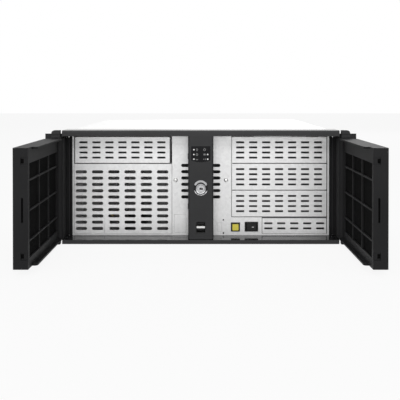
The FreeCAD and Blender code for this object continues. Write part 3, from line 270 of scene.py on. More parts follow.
DRESSED = {
    # The lid gets the lighter zinc copy: a painted highlight.
    "lid_zinc_painted_highlight": ["top_cover"],
    "door_plastic": ["door_left", "door_right"],
    "bezel_plastic": ["bezel_frame"],
    # The cages, drive cage and fan bracket get the dark zinc copy: painted shade.
    "painted_shade_zinc": ["bay_cage_left", "bay_cage_right", "small_bay_cage", "drive_cage", "fan_bracket"],
}
for finish, node_names in DRESSED.items():
    for node_name in node_names:
        NODES[node_name].data.materials[0] = MATERIALS[finish]


# ---------------------------------------------------------------- softened edges

SHARP_ANGLE = math.radians(35)
EDGE_SOFT = {
    "bezel_frame": 0.5, "centre_strip": 0.5, "door_left": 0.45, "door_right": 0.45,
    "side_grip_left": 0.5, "side_grip_right": 0.5, "push_button": 0.4, "push_button_frame": 0.3,
    "switch_frame": 0.4, "switch_rocker": 0.4, "lock_plug": 0.25,
    "rack_ear_left": 0.3, "rack_ear_right": 0.3, "top_cover": 0.3, "filter_retainer_left": 0.3,
    "filter_retainer_right": 0.3, "indicator_window": 0.2, "cover_thumbscrews": 0.4,
}
for name, width in EDGE_SOFT.items():
    soft = NODES[name].modifiers.new("soft_edges", "BEVEL")
    soft.width = width * MM
    soft.segments = 2
    soft.limit_method = "ANGLE"
    soft.angle_limit = SHARP_ANGLE
    soft.harden_normals = False


# ---------------------------------------------------------------- shape helpers

def finish_mesh(obj, name, body, slot, stands_for=()):
    """Name a new piece, give it its material and say what carries it and what it stands for."""
    obj.name = name
    obj.data.materials.clear()
    obj.data.materials.append(MATERIALS[slot])
    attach(obj, body)
    if stands_for:
        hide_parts(*stands_for)
    return obj


def shown_object(name, mesh):
    """An object of a mesh, linked into the scene."""
    obj = bpy.data.objects.new(name, mesh)
    bpy.context.collection.objects.link(obj)
    return obj


def mesh_object(name, vertices, faces):
    """An object of listed points and faces."""
    mesh = bpy.data.meshes.new(name)
    mesh.from_pydata([tuple(v) for v in vertices], [], faces)
    mesh.update()
    return shown_object(name, mesh)


def merge(objects, name):
    """One object from several, with shared normals recalculated."""
    work = bmesh.new()
    for obj in objects:
        work.from_mesh(obj.data)
        bpy.data.objects.remove(obj)
    bmesh.ops.recalc_face_normals(work, faces=work.faces)
    mesh = bpy.data.meshes.new(name)
    work.to_mesh(mesh)
    work.free()
    return shown_object(name, mesh)


def smooth_by_angle(obj, degrees=35):
    """Smooth shading with the sharp edges kept."""
    for polygon in obj.data.polygons:
        polygon.use_smooth = True
    work = bmesh.new()
    work.from_mesh(obj.data)
    limit = math.radians(degrees)
    for edge in work.edges:
        edge.smooth = len(edge.link_faces) == 2 and edge.calc_face_angle(0) < limit
    work.to_mesh(obj.data)
    work.free()


def rounded(x0, x1, z0, z1, radius, steps=4):
    """The corners of a rectangle with round corners, anticlockwise from the right."""
    radius = min(radius, (x1 - x0) / 2, (z1 - z0) / 2)
    corners = [(x1 - radius, z1 - radius, 0), (x0 + radius, z1 - radius, 90),
               (x0 + radius, z0 + radius, 180), (x1 - radius, z0 + radius, 270)]
    points = []
    for x, z, start in corners:
        for step in range(steps + 1):
            turn = math.radians(start + 90 * step / steps)
            points.append((x + radius * math.cos(turn), z + radius * math.sin(turn)))
    return points


def evaluated_mesh(obj):
    """The mesh of an object with its curves and modifiers applied."""
    return bpy.data.meshes.new_from_object(obj.evaluated_get(bpy.context.evaluated_depsgraph_get()))


def sheet_plate(name, outlines, front, thick, edge=0.1 * MM):
    """A flat plate in the XZ plane: the first outline is its rim, the others are holes."""
    curve = bpy.data.curves.new(name, "CURVE")
    curve.dimensions = "2D"
    curve.fill_mode = "BOTH"
    curve.extrude = thick / 2 - edge
    curve.bevel_depth = edge
    curve.bevel_resolution = 1
    curve.offset = -edge
    for outline in outlines:
        spline = curve.splines.new("POLY")
        spline.points.add(len(outline) - 1)
        for point, (x, z) in zip(spline.points, outline):
            point.co = (x, z, 0, 1)
        spline.use_cyclic_u = True
    holder = shown_object(name, curve)
    mesh = evaluated_mesh(holder)
    bpy.data.objects.remove(holder)
    for vertex in mesh.vertices:
        x, z, y = vertex.co
        vertex.co = (x, front + thick / 2 - y, z)
    mesh.flip_normals()
    return shown_object(name, mesh)


def bar(low, high, edge=0.15 * MM):
    """A rectangular bar with softened edges, from its lowest to its highest corner."""
    work = bmesh.new()
    made = bmesh.ops.create_cube(work, size=1.0)
    for vertex in made["verts"]:
        vertex.co = Vector([low[i] + (high[i] - low[i]) * (vertex.co[i] + 0.5) for i in range(3)])
    if edge:
        bmesh.ops.bevel(work, geom=work.edges[:], offset=edge, segments=2, affect="EDGES", profile=0.6)
    mesh = bpy.data.meshes.new("bar")
    work.to_mesh(mesh)
    work.free()
    return shown_object("bar", mesh)


FOLD_START = 0.6


def folded_sheet(name, outlines, front, thick, back, sides="lrtb"):
    """A plate with returns folded back from the sides of its rim named by sides."""
    rim = outlines[0]
    low_x, high_x = min(p[0] for p in rim), max(p[0] for p in rim)
    low_z, high_z = min(p[1] for p in rim), max(p[1] for p in rim)
    parts = [sheet_plate(name, outlines, front, thick)]
    start = front + thick * FOLD_START
    spans = {
        "l": ((low_x, low_z + thick), (low_x + thick, high_z - thick)),
        "r": ((high_x - thick, low_z + thick), (high_x, high_z - thick)),
        "t": ((low_x + thick, high_z - thick), (high_x - thick, high_z)),
        "b": ((low_x + thick, low_z), (high_x - thick, low_z + thick)),
    }
    for side in sides:
        (x0, z0), (x1, z1) = spans[side]
        parts.append(bar((x0, start, z0), (x1, back, z1)))
    return merge(parts, name)


def turned(name, profile, place, steps=64, start=0.0, sweep=360.0):
    """A body turned round an axis along Y through place, from (radius, y) points.

    With a sweep under 360 degrees, it is that sector, closed at its two ends."""
    x0, z0 = place
    whole = sweep >= 360
    count = steps if whole else steps + 1
    vertices = []
    for index in range(count):
        turn = math.radians(start + sweep * index / steps)
        for radius, y in profile:
            vertices.append((x0 + radius * math.cos(turn), y, z0 + radius * math.sin(turn)))
    rows = len(profile)
    faces = []
    for index in range(steps):
        following = (index + 1) % count
        for row in range(rows if not whole else rows - 1):
            after = (row + 1) % rows
            faces.append((index * rows + row, index * rows + after,
                          following * rows + after, following * rows + row))
    if not whole:
        faces.append(tuple(range(rows)))
        faces.append(tuple((count - 1) * rows + row for row in reversed(range(rows))))
    obj = mesh_object(name, vertices, faces)
    work = bmesh.new()
    work.from_mesh(obj.data)
    bmesh.ops.remove_doubles(work, verts=work.verts[:], dist=WELD)
    bmesh.ops.recalc_face_normals(work, faces=work.faces[:])
    work.to_mesh(obj.data)
    work.free()
    return obj


def loose_boxes(name):
    """The box of each separate solid of a CAD node, as (lowest, highest) corners."""
    work = bmesh.new()
    work.from_mesh(NODES[name].data)
    bmesh.ops.remove_doubles(work, verts=work.verts[:], dist=WELD)
    seen = set()
    boxes = []
    for vertex in work.verts:
        if vertex in seen:
            continue
        seen.add(vertex)
        island, front = [], [vertex]
        while front:
            here = front.pop()
            island.append(here.co.copy())
            for edge in here.link_edges:
                other = edge.other_vert(here)
                if other not in seen:
                    seen.add(other)
                    front.append(other)
        low = tuple(min(p[i] for p in island) for i in range(3))
        high = tuple(max(p[i] for p in island) for i in range(3))
        boxes.append((low, high))
    work.free()
    return boxes


def slots(left, low, columns, rows, step, size, radius):
    """A grid of slot outlines with their column and row: left and low are the first slot's edges."""
    found = []
    for column in range(columns):
        for row in range(rows):
            x = left + column * step[0]
            z = low + row * step[1]
            found.append((column, row, rounded(x, x + size[0], z, z + size[1], radius)))
    return found


def vent_slots(left, low, columns, rows):
    """A grid of the long round-ended vent slots."""
    return slots(left, low, columns, rows, VENT_STEP, VENT_SLOT, VENT_SLOT[1] / 2)


# ---------------------------------------------------------------- the slotted sheets

SHEET = 1.2 * MM
VENT_SLOT = (18.0 * MM, 5.0 * MM)
VENT_STEP = (25.8 * MM, 10.0 * MM)
VENT_ROWS = 10
VENT_COLUMNS = 6
VENT_MARGIN = (2.1 * MM, 6.0 * MM)
CORNER_GRID = 2
CORNER_LAP = 8.0 * MM
CORNER_HEIGHT = 25.2 * MM
SKIRT = 3 * MM
NOTCH_GAP = 0.3 * MM
COVER_SLOT = (13.0 * MM, 3.0 * MM)
COVER_STEP = (20.6 * MM, 8.1 * MM)
COVER_SLOT_RADIUS = 0.9 * MM
PANEL_GAP = 0.5 * MM
MIDDLE_SLOTS_LEFT = (-31.0 * MM, 13.0 * MM)
MIDDLE_SLOTS_RISE = 56.2 * MM
MIDDLE_ROWS = 6
PIN_X = 35.9 * MM
PIN_HEIGHTS = (11.0 * MM, 32.0 * MM)
PIN_RADIUS = 1.4 * MM
KNOCK_OUTS = ((25.9 * MM, 33.5 * MM, 13.7 * MM, 27.8 * MM), (-42.0 * MM, -23.0 * MM, 12.0 * MM, 40.7 * MM))
KNOCK_GAP = 0.18 * MM
KNOCK_TAB = (2 * MM, 5 * MM)


def make_vent_panel():
    """The vent panel, with rows of round-ended slots round the corner plate's notch."""
    low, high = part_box("vent_panel")
    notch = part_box("vent_corner_plate")
    notch_x = notch[1][0] - CORNER_LAP + NOTCH_GAP
    notch_z = notch[0][2] + CORNER_HEIGHT + NOTCH_GAP
    rim = [(low[0], notch_z), (notch_x, notch_z), (notch_x, low[2]), (high[0], low[2]),
           (high[0], high[2]), (low[0], high[2])]
    first_x = low[0] + VENT_MARGIN[0]
    first_z = low[2] + VENT_MARGIN[1]
    holes = []
    for column, row, outline in vent_slots(first_x, first_z, VENT_COLUMNS, VENT_ROWS):
        if column >= CORNER_GRID or row >= CORNER_GRID:
            holes.append(outline)
    plate = folded_sheet("vent_sheet", [rim] + holes, low[1], SHEET, high[1], "tr")
    finish_mesh(plate, "vent_sheet", "chassis", "zinc_sheet", ["vent_panel"])

    low, high = notch
    rim = rounded(low[0], notch_x - NOTCH_GAP, low[2], notch_z - NOTCH_GAP, 0.6 * MM)
    grid = [outline for _, _, outline in vent_slots(first_x, first_z, CORNER_GRID, CORNER_GRID)]
    face = sheet_plate("corner_sheet", [rim] + grid, low[1], SHEET)
    lap = bar((low[0], low[1] + SHEET, notch_z - SKIRT), (high[0], high[1], notch_z + NOTCH_GAP))
    skirt = bar((notch_x - SKIRT, low[1] + SHEET, low[2]), (high[0], high[1], notch_z))
    corner = merge([face, lap, skirt], "corner_sheet")
    finish_mesh(corner, "corner_sheet", "chassis", "zinc_sheet", ["vent_corner_plate"])


def make_cover(node_name, columns, rows):
    """A blank drive-bay cover: a folded plate with a centred grid of short slots."""
    low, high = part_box(node_name)
    span_x = (columns - 1) * COVER_STEP[0] + COVER_SLOT[0]
    span_z = (rows - 1) * COVER_STEP[1] + COVER_SLOT[1]
    left = (low[0] + high[0] - span_x) / 2
    bottom = (low[2] + high[2] - span_z) / 2
    rim = rounded(low[0], high[0], low[2], high[2], 0.8 * MM)
    grid = slots(left, bottom, columns, rows, COVER_STEP, COVER_SLOT, COVER_SLOT_RADIUS)
    plate = folded_sheet(node_name, [rim] + [outline for _, _, outline in grid], low[1], SHEET, high[1])
    finish_mesh(plate, node_name + "_sheet", "chassis", "zinc_sheet", [node_name])


def make_front_panel():
    """The zinc front panel: two openings, the slots beside the strip, pin holes and knock-outs."""
    low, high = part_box("front_panel")
    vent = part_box("vent_panel")
    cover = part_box("bay_cover_right_3")
    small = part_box("small_bay_cover")
    top = high[2] - SHEET
    rim = rounded(low[0], high[0], low[2], high[2], 0.5 * MM)
    vent_opening = rounded(vent[0][0] - PANEL_GAP, vent[1][0] + PANEL_GAP, vent[0][2] - PANEL_GAP, top,
                           0.4 * MM)
    inner, outer = cover[0][0] - PANEL_GAP * 1.6, cover[1][0] + PANEL_GAP * 3
    step_x, step_z = small[0][0] - PANEL_GAP * 1.6, cover[0][2] - PANEL_GAP * 2
    sill = small[0][2] - PANEL_GAP
    bay_opening = [(inner, step_z), (step_x, step_z), (step_x, sill), (outer, sill), (outer, top),
                   (inner, top)]
    holes = [vent_opening, bay_opening]
    for control in ("push_button_frame", "switch_frame"):
        near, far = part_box(control)
        holes.append(rounded(near[0] + MM, far[0] - MM, near[2] + MM, far[2] - MM, 0.4 * MM))
    for left in MIDDLE_SLOTS_LEFT:
        for _, _, outline in vent_slots(left, vent[0][2] + MIDDLE_SLOTS_RISE, 1, MIDDLE_ROWS):
            holes.append(outline)
    for z in PIN_HEIGHTS:
        holes.append(rounded(PIN_X - PIN_RADIUS, PIN_X + PIN_RADIUS, z - PIN_RADIUS, z + PIN_RADIUS,
                             PIN_RADIUS, 6))
    blanks = []
    tab_front, tab_back = low[1] + SHEET * 0.7, low[1] + SHEET
    for x0, x1, z0, z1 in KNOCK_OUTS:
        holes.append(rounded(x0, x1, z0, z1, MM))
        blank = rounded(x0 + KNOCK_GAP, x1 - KNOCK_GAP, z0 + KNOCK_GAP, z1 - KNOCK_GAP, MM)
        blanks.append(sheet_plate("blank", [blank], low[1], SHEET, 0.05 * MM))
        blanks.append(bar((x0 + KNOCK_TAB[0], tab_front, z0 - MM), (x0 + KNOCK_TAB[1], tab_back, z1 + MM), 0))
    plate = folded_sheet("front_sheet", [rim] + holes, low[1], SHEET, high[1])
    plate = merge([plate] + blanks, "front_sheet")
    finish_mesh(plate, "front_sheet", "chassis", "zinc_sheet", ["front_panel"])


make_vent_panel()
for cover_name in ("bay_cover_left", "bay_cover_right_1", "bay_cover_right_2", "bay_cover_right_3"):
    make_cover(cover_name, 7, 4)
make_cover("small_bay_cover", 5, 2)
make_front_panel()


# ---------------------------------------------------------------- small pieces

SCREW_RISE = 1.8 * MM
RECESS = (0.22, 1.15)
RECESS_DEPTH = 0.55
MIDDLE_OF_FRONT = 0.1


def cross_screw(place, y, radius, rise):
    """A pan-head screw seen along Y, with a cross recess; y is where its head starts."""
    x0, z0 = place
    dome = [(0, y), (radius * 0.45, y + rise * 0.06), (radius * 0.8, y + rise * 0.3),
            (radius, y + rise * 0.75), (radius, y + rise)]
    head = turned("head", dome, place, 32)
    smooth_by_angle(head)
    cutters = []
    narrow, wide = radius * RECESS[0], radius * RECESS[1]
    for size_x, size_z in ((narrow, wide), (wide, narrow)):
        cutters.append(bar((x0 - size_x / 2, y - rise, z0 - size_z / 2),
                           (x0 + size_x / 2, y + rise * RECESS_DEPTH, z0 + size_z / 2), 0))
    for cutter in cutters:
        cut = head.modifiers.new("recess", "BOOLEAN")
        cut.object = cutter
        cut.operation = "DIFFERENCE"
        cut.solver = "EXACT"
        bpy.context.view_layer.update()
        mesh = evaluated_mesh(head)
        head.modifiers.clear()
        head.data = mesh
    for cutter in cutters:
        bpy.data.objects.remove(cutter)
    return head


def screw_shank(place, start, end, radius):
    """The plain shank behind a screw's head, along Y."""
    return turned("shank", [(0, start), (radius * 0.5, start), (radius * 0.5, end), (0, end)], place, 20)


def make_case_screws():
    """All the case's pan-head screws, each where its solid is, on the front and on the two sides."""
    heads = []
    for low, high in loose_boxes("case_screws"):
        wide = [high[i] - low[i] for i in range(3)]
        centre = [(high[i] + low[i]) / 2 for i in range(3)]
        if wide[1] > wide[0] or abs(centre[0]) < MIDDLE_OF_FRONT:
            place = (centre[0], centre[2])
            radius = min(wide[0], wide[2]) / 2
            rise = min(SCREW_RISE, wide[1] * 0.5)
            heads.append(cross_screw(place, low[1], radius, rise))
            heads.append(screw_shank(place, low[1] + rise, high[1], radius))
            continue
        side = 1 if centre[0] > 0 else -1
        radius = min(wide[1], wide[2]) / 2
        rise = min(SCREW_RISE, wide[0] * 0.5)
        outer = high[0] if side > 0 else low[0]
        for item in (cross_screw((0, 0), 0, radius, rise), screw_shank((0, 0), rise, wide[0], radius)):
            for vertex in item.data.vertices:
                x, y, z = vertex.co
                vertex.co = (outer - side * y, centre[1] + x * side, centre[2] + z)
            heads.append(item)
    screws = merge(heads, "pan_head_screws")
    finish_mesh(screws, "pan_head_screws", "chassis", "bright_steel", ["case_screws"])


LOCK_LIP = 1.0 * MM
BARREL_SHARE = 0.72
HOOD_RISE = 2.2 * MM
HOOD_SECTOR = (22, 136)
LIP_RISE = 0.6 * MM
LIP_SECTOR = (197, 146)
KEYWAY = (5.6 * MM, 2.3 * MM)
KEYWAY_ASIDE = 0.6 * MM


def make_lock():
    """The chrome cam lock: a black ring round the barrel as painted shade in its recess, the barrel's face, a
    hood above, a lip below and a dark plate as painted shade in the key slot.
    """
    low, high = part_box("lock_body")
    place = ((low[0] + high[0]) / 2, (low[2] + high[2]) / 2)
    front, back = low[1], high[1]
    radius = (high[0] - low[0]) / 2 + LOCK_LIP
    barrel = radius * BARREL_SHARE
    plug_low, plug_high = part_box("lock_plug")
    bore = (plug_high[0] - plug_low[0]) / 2 + 0.15 * MM
    strip_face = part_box("centre_strip")[0][1]
    root = strip_face + 0.3 * MM
    # A black ring in the recess round the barrel: painted shade between the chrome parts.
    shade_ring_profile = [(radius * 1.0, strip_face - 0.1 * MM), (radius * 0.97, strip_face - 0.6 * MM),
            (barrel + 0.1 * MM, strip_face - 0.3 * MM), (barrel + 0.1 * MM, back), (radius * 0.76, back)]
    ring = turned("lock_shade_ring", shade_ring_profile, place)
    smooth_by_angle(ring)
    finish_mesh(ring, "lock_shade_ring", "chassis", "black_metal")
    face = [(bore, back), (bore, front + 0.9 * MM), (bore + 0.3 * MM, front + 0.5 * MM),
            (barrel - 0.7 * MM, front + 0.3 * MM), (barrel, front + 1.0 * MM), (barrel, back)]
    body = turned("lock_face", face, place)
    smooth_by_angle(body)
    hood_profile = [(barrel - 0.2 * MM, front + 1.8 * MM), (barrel, front + 0.4 * MM), (radius * 0.93, front),
                    (radius, front + 0.7 * MM), (radius, root), (barrel - 0.2 * MM, root)]
    hood = turned("hood", hood_profile, (place[0], place[1] + HOOD_RISE), 40, *HOOD_SECTOR)
    lip_profile = [(radius * 0.88, front + 1.2 * MM), (radius * 0.95, front + 0.7 * MM),
                   (radius, front + 1.2 * MM), (radius, root), (radius * 0.88, root)]
    lip = turned("lip", lip_profile, (place[0], place[1] + LIP_RISE), 48, *LIP_SECTOR)
    for item in (hood, lip):
        smooth_by_angle(item, 40)
    shell = merge([body, hood, lip], "lock_shell")
    finish_mesh(shell, "lock_shell", "chassis", "chrome_plate", ["lock_body"])
    middle = (plug_low[2] + plug_high[2]) / 2
    outline = rounded(KEYWAY_ASIDE - KEYWAY[0] / 2, KEYWAY_ASIDE + KEYWAY[0] / 2,
                      middle - KEYWAY[1] / 2, middle + KEYWAY[1] / 2, 0.9 * MM)
    # A thin dark plate just in front of the plug face stands for the key slot: painted shade in the hole.
    key = sheet_plate("keyway", [outline], plug_low[1] - 0.2 * MM, 0.5 * MM, 0.03 * MM)
    finish_mesh(key, "keyway", "lock_cylinder", "smoked_window")


UNLIT_LAMP = 3
SYMBOL_ASIDE = 4.7 * MM
PRINT_FRONT = 0.05 * MM
PRINT_BACK = 0.02 * MM


def make_lamps():
    """Six small domed light guides in the pane, one of them unlit, and the grey signs beside them."""
    symbols = []
    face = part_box("indicator_window")[0][1]
    boxes = sorted(loose_boxes("indicator_lamps"), key=lambda box: (box[0][0] > 0, -box[0][2]))
    lit, unlit = [], []
    for number, (low, high) in enumerate(boxes):
        place = ((low[0] + high[0]) / 2, (low[2] + high[2]) / 2)
        radius = (high[0] - low[0]) / 2
        profile = [(0, face - 0.28 * MM), (radius * 0.6, face - 0.2 * MM), (radius, face + 0.1 * MM),
                   (radius, high[1])]
        dome = turned("lamp", profile, place, 24)
        smooth_by_angle(dome, 50)
        side = 1 if place[0] < 0 else -1
        symbols.extend(symbol(number, place[0] + side * SYMBOL_ASIDE, place[1], face))
        (unlit if number == UNLIT_LAMP else lit).append(dome)
    finish_mesh(merge(lit, "lamp_domes"), "lamp_domes", "chassis", "lamp_lens", ["indicator_lamps"])
    finish_mesh(merge(unlit, "lamp_dome_unlit"), "lamp_dome_unlit", "chassis", "smoked_window")
    finish_mesh(merge(symbols, "lamp_symbols"), "lamp_symbols", "chassis", "symbol_print")


def ring_print(x, z, face, outer, inner, start=0.0, sweep=360.0):
    """A thin printed ring or arc on a face."""
    front, back = face - PRINT_FRONT, face + PRINT_BACK
    profile = [(inner, front), (outer, front), (outer, back), (inner, back)]
    if sweep >= 360:
        profile.append(profile[0])
    return turned("ring", profile, (x, z), 24, start, sweep)


def bar_print(x, z, face, wide, tall):
    """A thin printed rectangle on a face."""
    return bar((x - wide / 2, face - PRINT_FRONT, z - tall / 2),
               (x + wide / 2, face + PRINT_BACK, z + tall / 2), 0)


def symbol(number, x, z, face):
    """A plain generic sign for each lamp: bulb, drum, wave, power, block and two dots."""
    if number == 0:
        return [ring_print(x, z + 0.4 * MM, face, 1.5 * MM, 0.9 * MM),
                bar_print(x, z - 1.5 * MM, face, 1.2 * MM, 0.9 * MM)]
    if number == 1:
        return [ring_print(x, z - 0.2 * MM, face, 1.8 * MM, 0.9 * MM),
                bar_print(x, z + 1.8 * MM, face, 0.8 * MM, 0.8 * MM)]
    if number == 2:
        return [ring_print(x, z + 0.5 * MM, face, 2.0 * MM, 1.1 * MM, 185, 170)]
    if number == 3:
        return [ring_print(x, z, face, 2.0 * MM, 1.2 * MM, 115, 310),
                bar_print(x, z + 1.7 * MM, face, 0.7 * MM, 1.8 * MM)]
    if number == 4:
        return [bar_print(x, z, face, 3.4 * MM, 2.6 * MM)]
    return [bar_print(x - 1.3 * MM, z, face, 1.1 * MM, 1.6 * MM),
            bar_print(x + 1.2 * MM, z, face, 1.4 * MM, 2.0 * MM)]


USB_WALL = 0.6 * MM
USB_BACK = 1.2 * MM
USB_TONGUE = 1.3 * MM


def make_usb():
    """Two stacked ports: a black housing, two dark mouths with tongues and the bright shell between."""
    low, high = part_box("usb_ports")
    face = low[1]
    middle = (low[2] + high[2]) / 2
    left, right = low[0] + USB_WALL, high[0] - USB_WALL
    upper = rounded(left, right, middle + 2.2 * MM, middle + 7.6 * MM, 0.4 * MM)
    lower = rounded(left, right, middle - 7.4 * MM, middle - 1.6 * MM, 0.4 * MM)
    rim = rounded(low[0], high[0], low[2], high[2], 0.6 * MM)
    housing = sheet_plate("usb_housing", [rim, upper, lower], face + 0.02 * MM, high[1] - face - USB_BACK,
                          0.2 * MM)
    back = bar((low[0], high[1] - USB_BACK, low[2]), (high[0], high[1], high[2]), 0)
    housing = merge([housing, back], "usb_housing")
    finish_mesh(housing, "usb_housing", "chassis", "control_black", ["usb_ports"])
    shell = bar((left, face, middle - 1.4 * MM), (right, face + 6 * MM, middle + 2.0 * MM), 0.25 * MM)
    tongues = []
    for z in (middle + 4.4 * MM, middle - 4.8 * MM):
        tongues.append(bar((left + 1.2 * MM, face + 2.5 * MM, z),
                           (right - 1.2 * MM, high[1] - 1.3 * MM, z + USB_TONGUE), 0.1 * MM))
    finish_mesh(shell, "usb_shell_bar", "chassis", "bright_steel")
    finish_mesh(merge(tongues, "usb_tongues"), "usb_tongues", "chassis", "black_plastic")


PAD_CELLS = 40
PAD_CROWN = 0.8 * MM
PAD_RIPPLE = 0.35
PAD_SOFT_EDGE = 0.06


def make_filter(side):
    """The open-cell foam filter in a door: a thin pad with soft crowned faces and worn corners."""
    node_name = "door_filter_" + side
    low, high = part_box(node_name)
    vertices, faces = [], []
    for layer in (0, 1):
        for i in range(PAD_CELLS + 1):
            for j in range(PAD_CELLS + 1):
                u, v = i / PAD_CELLS, j / PAD_CELLS
                y = low[1] + (high[1] - low[1]) * u
                z = low[2] + (high[2] - low[2]) * v
                edge = min(u, 1 - u, v, 1 - v)
                swell = min(1.0, edge / PAD_SOFT_EDGE) ** 0.5
                ripple = 0.5 + 0.5 * math.sin(u * 19 + 2.1 * math.sin(v * 11)) * math.sin(v * 17 + 1.3)
                depth = PAD_CROWN * (1 - swell) + PAD_CROWN * PAD_RIPPLE * ripple
                x = low[0] + depth if layer == 0 else high[0] - depth
                vertices.append((x, y, z))
    width = PAD_CELLS + 1
    count = width * width
    for i in range(PAD_CELLS):
        for j in range(PAD_CELLS):
            a = i * width + j
            faces.append((a, a + 1, a + width + 1, a + width))
            faces.append((count + a, count + a + width, count + a + width + 1, count + a + 1))
    rim = [i * width for i in range(PAD_CELLS)] + [PAD_CELLS * width + j for j in range(PAD_CELLS)]
    rim += [i * width + PAD_CELLS for i in range(PAD_CELLS, 0, -1)] + list(range(PAD_CELLS, 0, -1))
    for index, here in enumerate(rim):
        following = rim[(index + 1) % len(rim)]
        faces.append((here, following, count + following, count + here))
    name = node_name + "_pad"
    pad = merge([mesh_object(name, vertices, faces)], name)
    smooth_by_angle(pad, 60)
    finish_mesh(pad, name, side + "_door", "filter_foam", [node_name])


MARK_ASIDE = (2.2 * MM, -0.3 * MM)
MARK_HALF = (1.5 * MM, 0.5 * MM)
IN_FRONT = -0.5


def make_rocker_mark():
    """The white bar on the rocker's right half, lying on its sloping face."""
    low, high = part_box("switch_rocker")
    x = (low[0] + high[0]) / 2 + MARK_ASIDE[0]
    z = (low[2] + high[2]) / 2 + MARK_ASIDE[1]
    _, point, normal, _ = NODES["switch_rocker"].ray_cast((x, IN_FRONT, z), (0, 1, 0))
    mark = bar((-MARK_HALF[0], -0.06 * MM, -MARK_HALF[1]), (MARK_HALF[0], 0.05 * MM, MARK_HALF[1]), 0)
    turn = Vector((0, -1, 0)).rotation_difference(normal)
    for vertex in mark.data.vertices:
        vertex.co = turn @ vertex.co + point
    finish_mesh(mark, "rocker_mark", "rocker", "white_print")


# Painted shade: dark folded sheets put inside the case where there is only shade behind the slots.
SHADE_SHEET = 0.8 * MM
BAY_SHADE_SHEET_FRONT = 46 * MM
BAY_SHADE_SHEET_FLOOR = 39 * MM
MIDDLE_SHADE_SHEET_FRONT = 62 * MM
MIDDLE_SHADE_SHEET_SPAN = (-44 * MM, 44 * MM, 54 * MM, 140 * MM)
SHADE_SHEET_RETURN = 14 * MM


def make_shade_sheet(side, span, front):
    """One dark sheet of painted shade with its four edges folded back."""
    shade_sheet = folded_sheet("painted_shade_sheet", [rounded(*span, MM)], front, SHADE_SHEET, front + SHADE_SHEET_RETURN)
    finish_mesh(shade_sheet, "painted_shade_sheet_" + side, "chassis", "painted_shade_zinc")


def make_shade_sheets():
    """Painted shade: dark folded sheets inside the case, behind the slots of the bay covers and beside the
    strip.
    """
    for side, cover in (("left", "bay_cover_left"), ("right", "bay_cover_right_1")):
        low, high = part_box(cover)
        floor = low[2] + 2 * MM if side == "left" else BAY_SHADE_SHEET_FLOOR
        make_shade_sheet(side, (low[0] + 3 * MM, high[0] - 3 * MM, floor, high[2] - 2 * MM), BAY_SHADE_SHEET_FRONT)
    make_shade_sheet("middle", MIDDLE_SHADE_SHEET_SPAN, MIDDLE_SHADE_SHEET_FRONT)


make_shade_sheets()
make_case_screws()
make_lock()
make_lamps()
make_usb()
make_filter("left")
make_filter("right")
make_rocker_mark()


# ---------------------------------------------------------------- stage, light and camera

FLOOR_SIZE = 12
FLOOR_DROP = 0.0002
FLOOR_GLOW = 0.9
SURROUND_LIGHT = 0.32
SENSOR_WIDTH = 36.0
CAMERA_DISTANCE = 0.9088
CAMERA_HEIGHT = 0.2329
CAMERA_ASIDE = 0.0006
CAMERA_PITCH = 0.5
CAMERA_LENS = 53.2
CAMERA_SHIFT = (-0.0029, -0.2536)
LIGHT_AIM = (0, 0, 0.09)
LIGHTS = {
    "key": ((-0.1, -1.7, 1.6), (1.6, 0.7), 17),
    "low_front": ((0.1, -2.2, 0.35), (1.8, 0.4), 7),
    "fill_right": ((1.9, -1.3, 0.8), (1.0, 1.2), 8),
    "fill_left": ((-1.9, -1.1, 0.7), (1.0, 1.2), 8),
    "top": ((0.0, 0.6, 2.0), (1.6, 1.6), 3),
    "rear": ((0.6, 2.6, 1.2), (1.6, 1.2), 9),
}


def make_stage():
    """A plain pale floor, nearly white where it is seen, that keeps a faint shadow."""
    bpy.ops.mesh.primitive_plane_add(size=FLOOR_SIZE, location=(0, 0, CAD_BOX[0][2] - FLOOR_DROP))
    floor = bpy.context.object
    floor.name = "floor"
    material, shader = new_material("pale_floor")
    shader.inputs["Base Color"].default_value = (0.8, 0.8, 0.8, 1)
    shader.inputs["Roughness"].default_value = 0.9
    glow = node(material, "ShaderNodeEmission")
    glow.inputs["Color"].default_value = (1, 1, 1, 1)
    path = node(material, "ShaderNodeLightPath")
    seen = node(material, "ShaderNodeMath", operation="MAXIMUM")
    join(material, path.outputs["Is Camera Ray"], seen.inputs[0])
    join(material, path.outputs["Is Glossy Ray"], seen.inputs[1])
    share = node(material, "ShaderNodeMath", operation="MULTIPLY")
    share.inputs[1].default_value = FLOOR_GLOW
    join(material, seen.outputs[0], share.inputs[0])
    mix = node(material, "ShaderNodeMixShader")
    join(material, share.outputs[0], mix.inputs["Fac"])
    join(material, shader.outputs[0], mix.inputs[1])
    join(material, glow.outputs[0], mix.inputs[2])
    output = [item for item in material.node_tree.nodes if item.type == "OUTPUT_MATERIAL"][0]
    join(material, mix.outputs[0], output.inputs["Surface"])
    floor.data.materials.append(material)


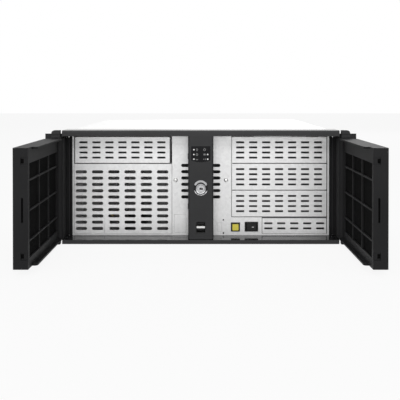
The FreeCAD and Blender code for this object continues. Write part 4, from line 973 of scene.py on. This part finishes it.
def make_world():
    """Soft white surroundings, plain white where they are seen, also through glass and in reflections."""
    world = bpy.data.worlds.new("studio")
    bpy.context.scene.world = world
    world.use_nodes = True
    tree = world.node_tree
    tree.nodes.clear()
    output = tree.nodes.new("ShaderNodeOutputWorld")
    backgrounds = []
    for strength in (SURROUND_LIGHT, 1.0):
        background = tree.nodes.new("ShaderNodeBackground")
        background.inputs["Color"].default_value = (1, 1, 1, 1)
        background.inputs["Strength"].default_value = strength
        backgrounds.append(background)
    path = tree.nodes.new("ShaderNodeLightPath")
    seen = path.outputs["Is Camera Ray"]
    for ray in ("Is Transmission Ray", "Is Glossy Ray"):
        either = tree.nodes.new("ShaderNodeMath")
        either.operation = "MAXIMUM"
        tree.links.new(seen, either.inputs[0])
        tree.links.new(path.outputs[ray], either.inputs[1])
        seen = either.outputs[0]
    mix = tree.nodes.new("ShaderNodeMixShader")
    tree.links.new(seen, mix.inputs["Fac"])
    tree.links.new(backgrounds[0].outputs[0], mix.inputs[1])
    tree.links.new(backgrounds[1].outputs[0], mix.inputs[2])
    tree.links.new(mix.outputs[0], output.inputs["Surface"])


def area_light(name, place, size, power):
    """A soft rectangular light turned to the middle of the case's front."""
    data = bpy.data.lights.new(name, "AREA")
    data.shape = "RECTANGLE"
    data.size, data.size_y = size
    data.energy = power
    lamp = bpy.data.objects.new(name, data)
    lamp.location = place
    lamp.rotation_euler = (Vector(LIGHT_AIM) - Vector(place)).to_track_quat("-Z", "Y").to_euler()
    bpy.context.collection.objects.link(lamp)


def make_camera():
    """The camera stands in front of the bezel, a little above the case, looking nearly level."""
    data = bpy.data.cameras.new("camera")
    data.sensor_width = SENSOR_WIDTH
    data.lens = CAMERA_LENS
    data.shift_x, data.shift_y = CAMERA_SHIFT
    data.clip_start = 0.01
    camera = bpy.data.objects.new("camera", data)
    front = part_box("bezel_frame")[0][1]
    camera.location = (CAMERA_ASIDE, front - CAMERA_DISTANCE, CAMERA_HEIGHT)
    camera.rotation_euler = (math.radians(90 - CAMERA_PITCH), 0, 0)
    bpy.context.collection.objects.link(camera)
    bpy.context.scene.camera = camera


make_stage()
make_world()
for light_name, (light_place, light_size, light_power) in LIGHTS.items():
    area_light(light_name, light_place, light_size, light_power)
make_camera()
bpy.context.scene.view_settings.view_transform = "Standard"
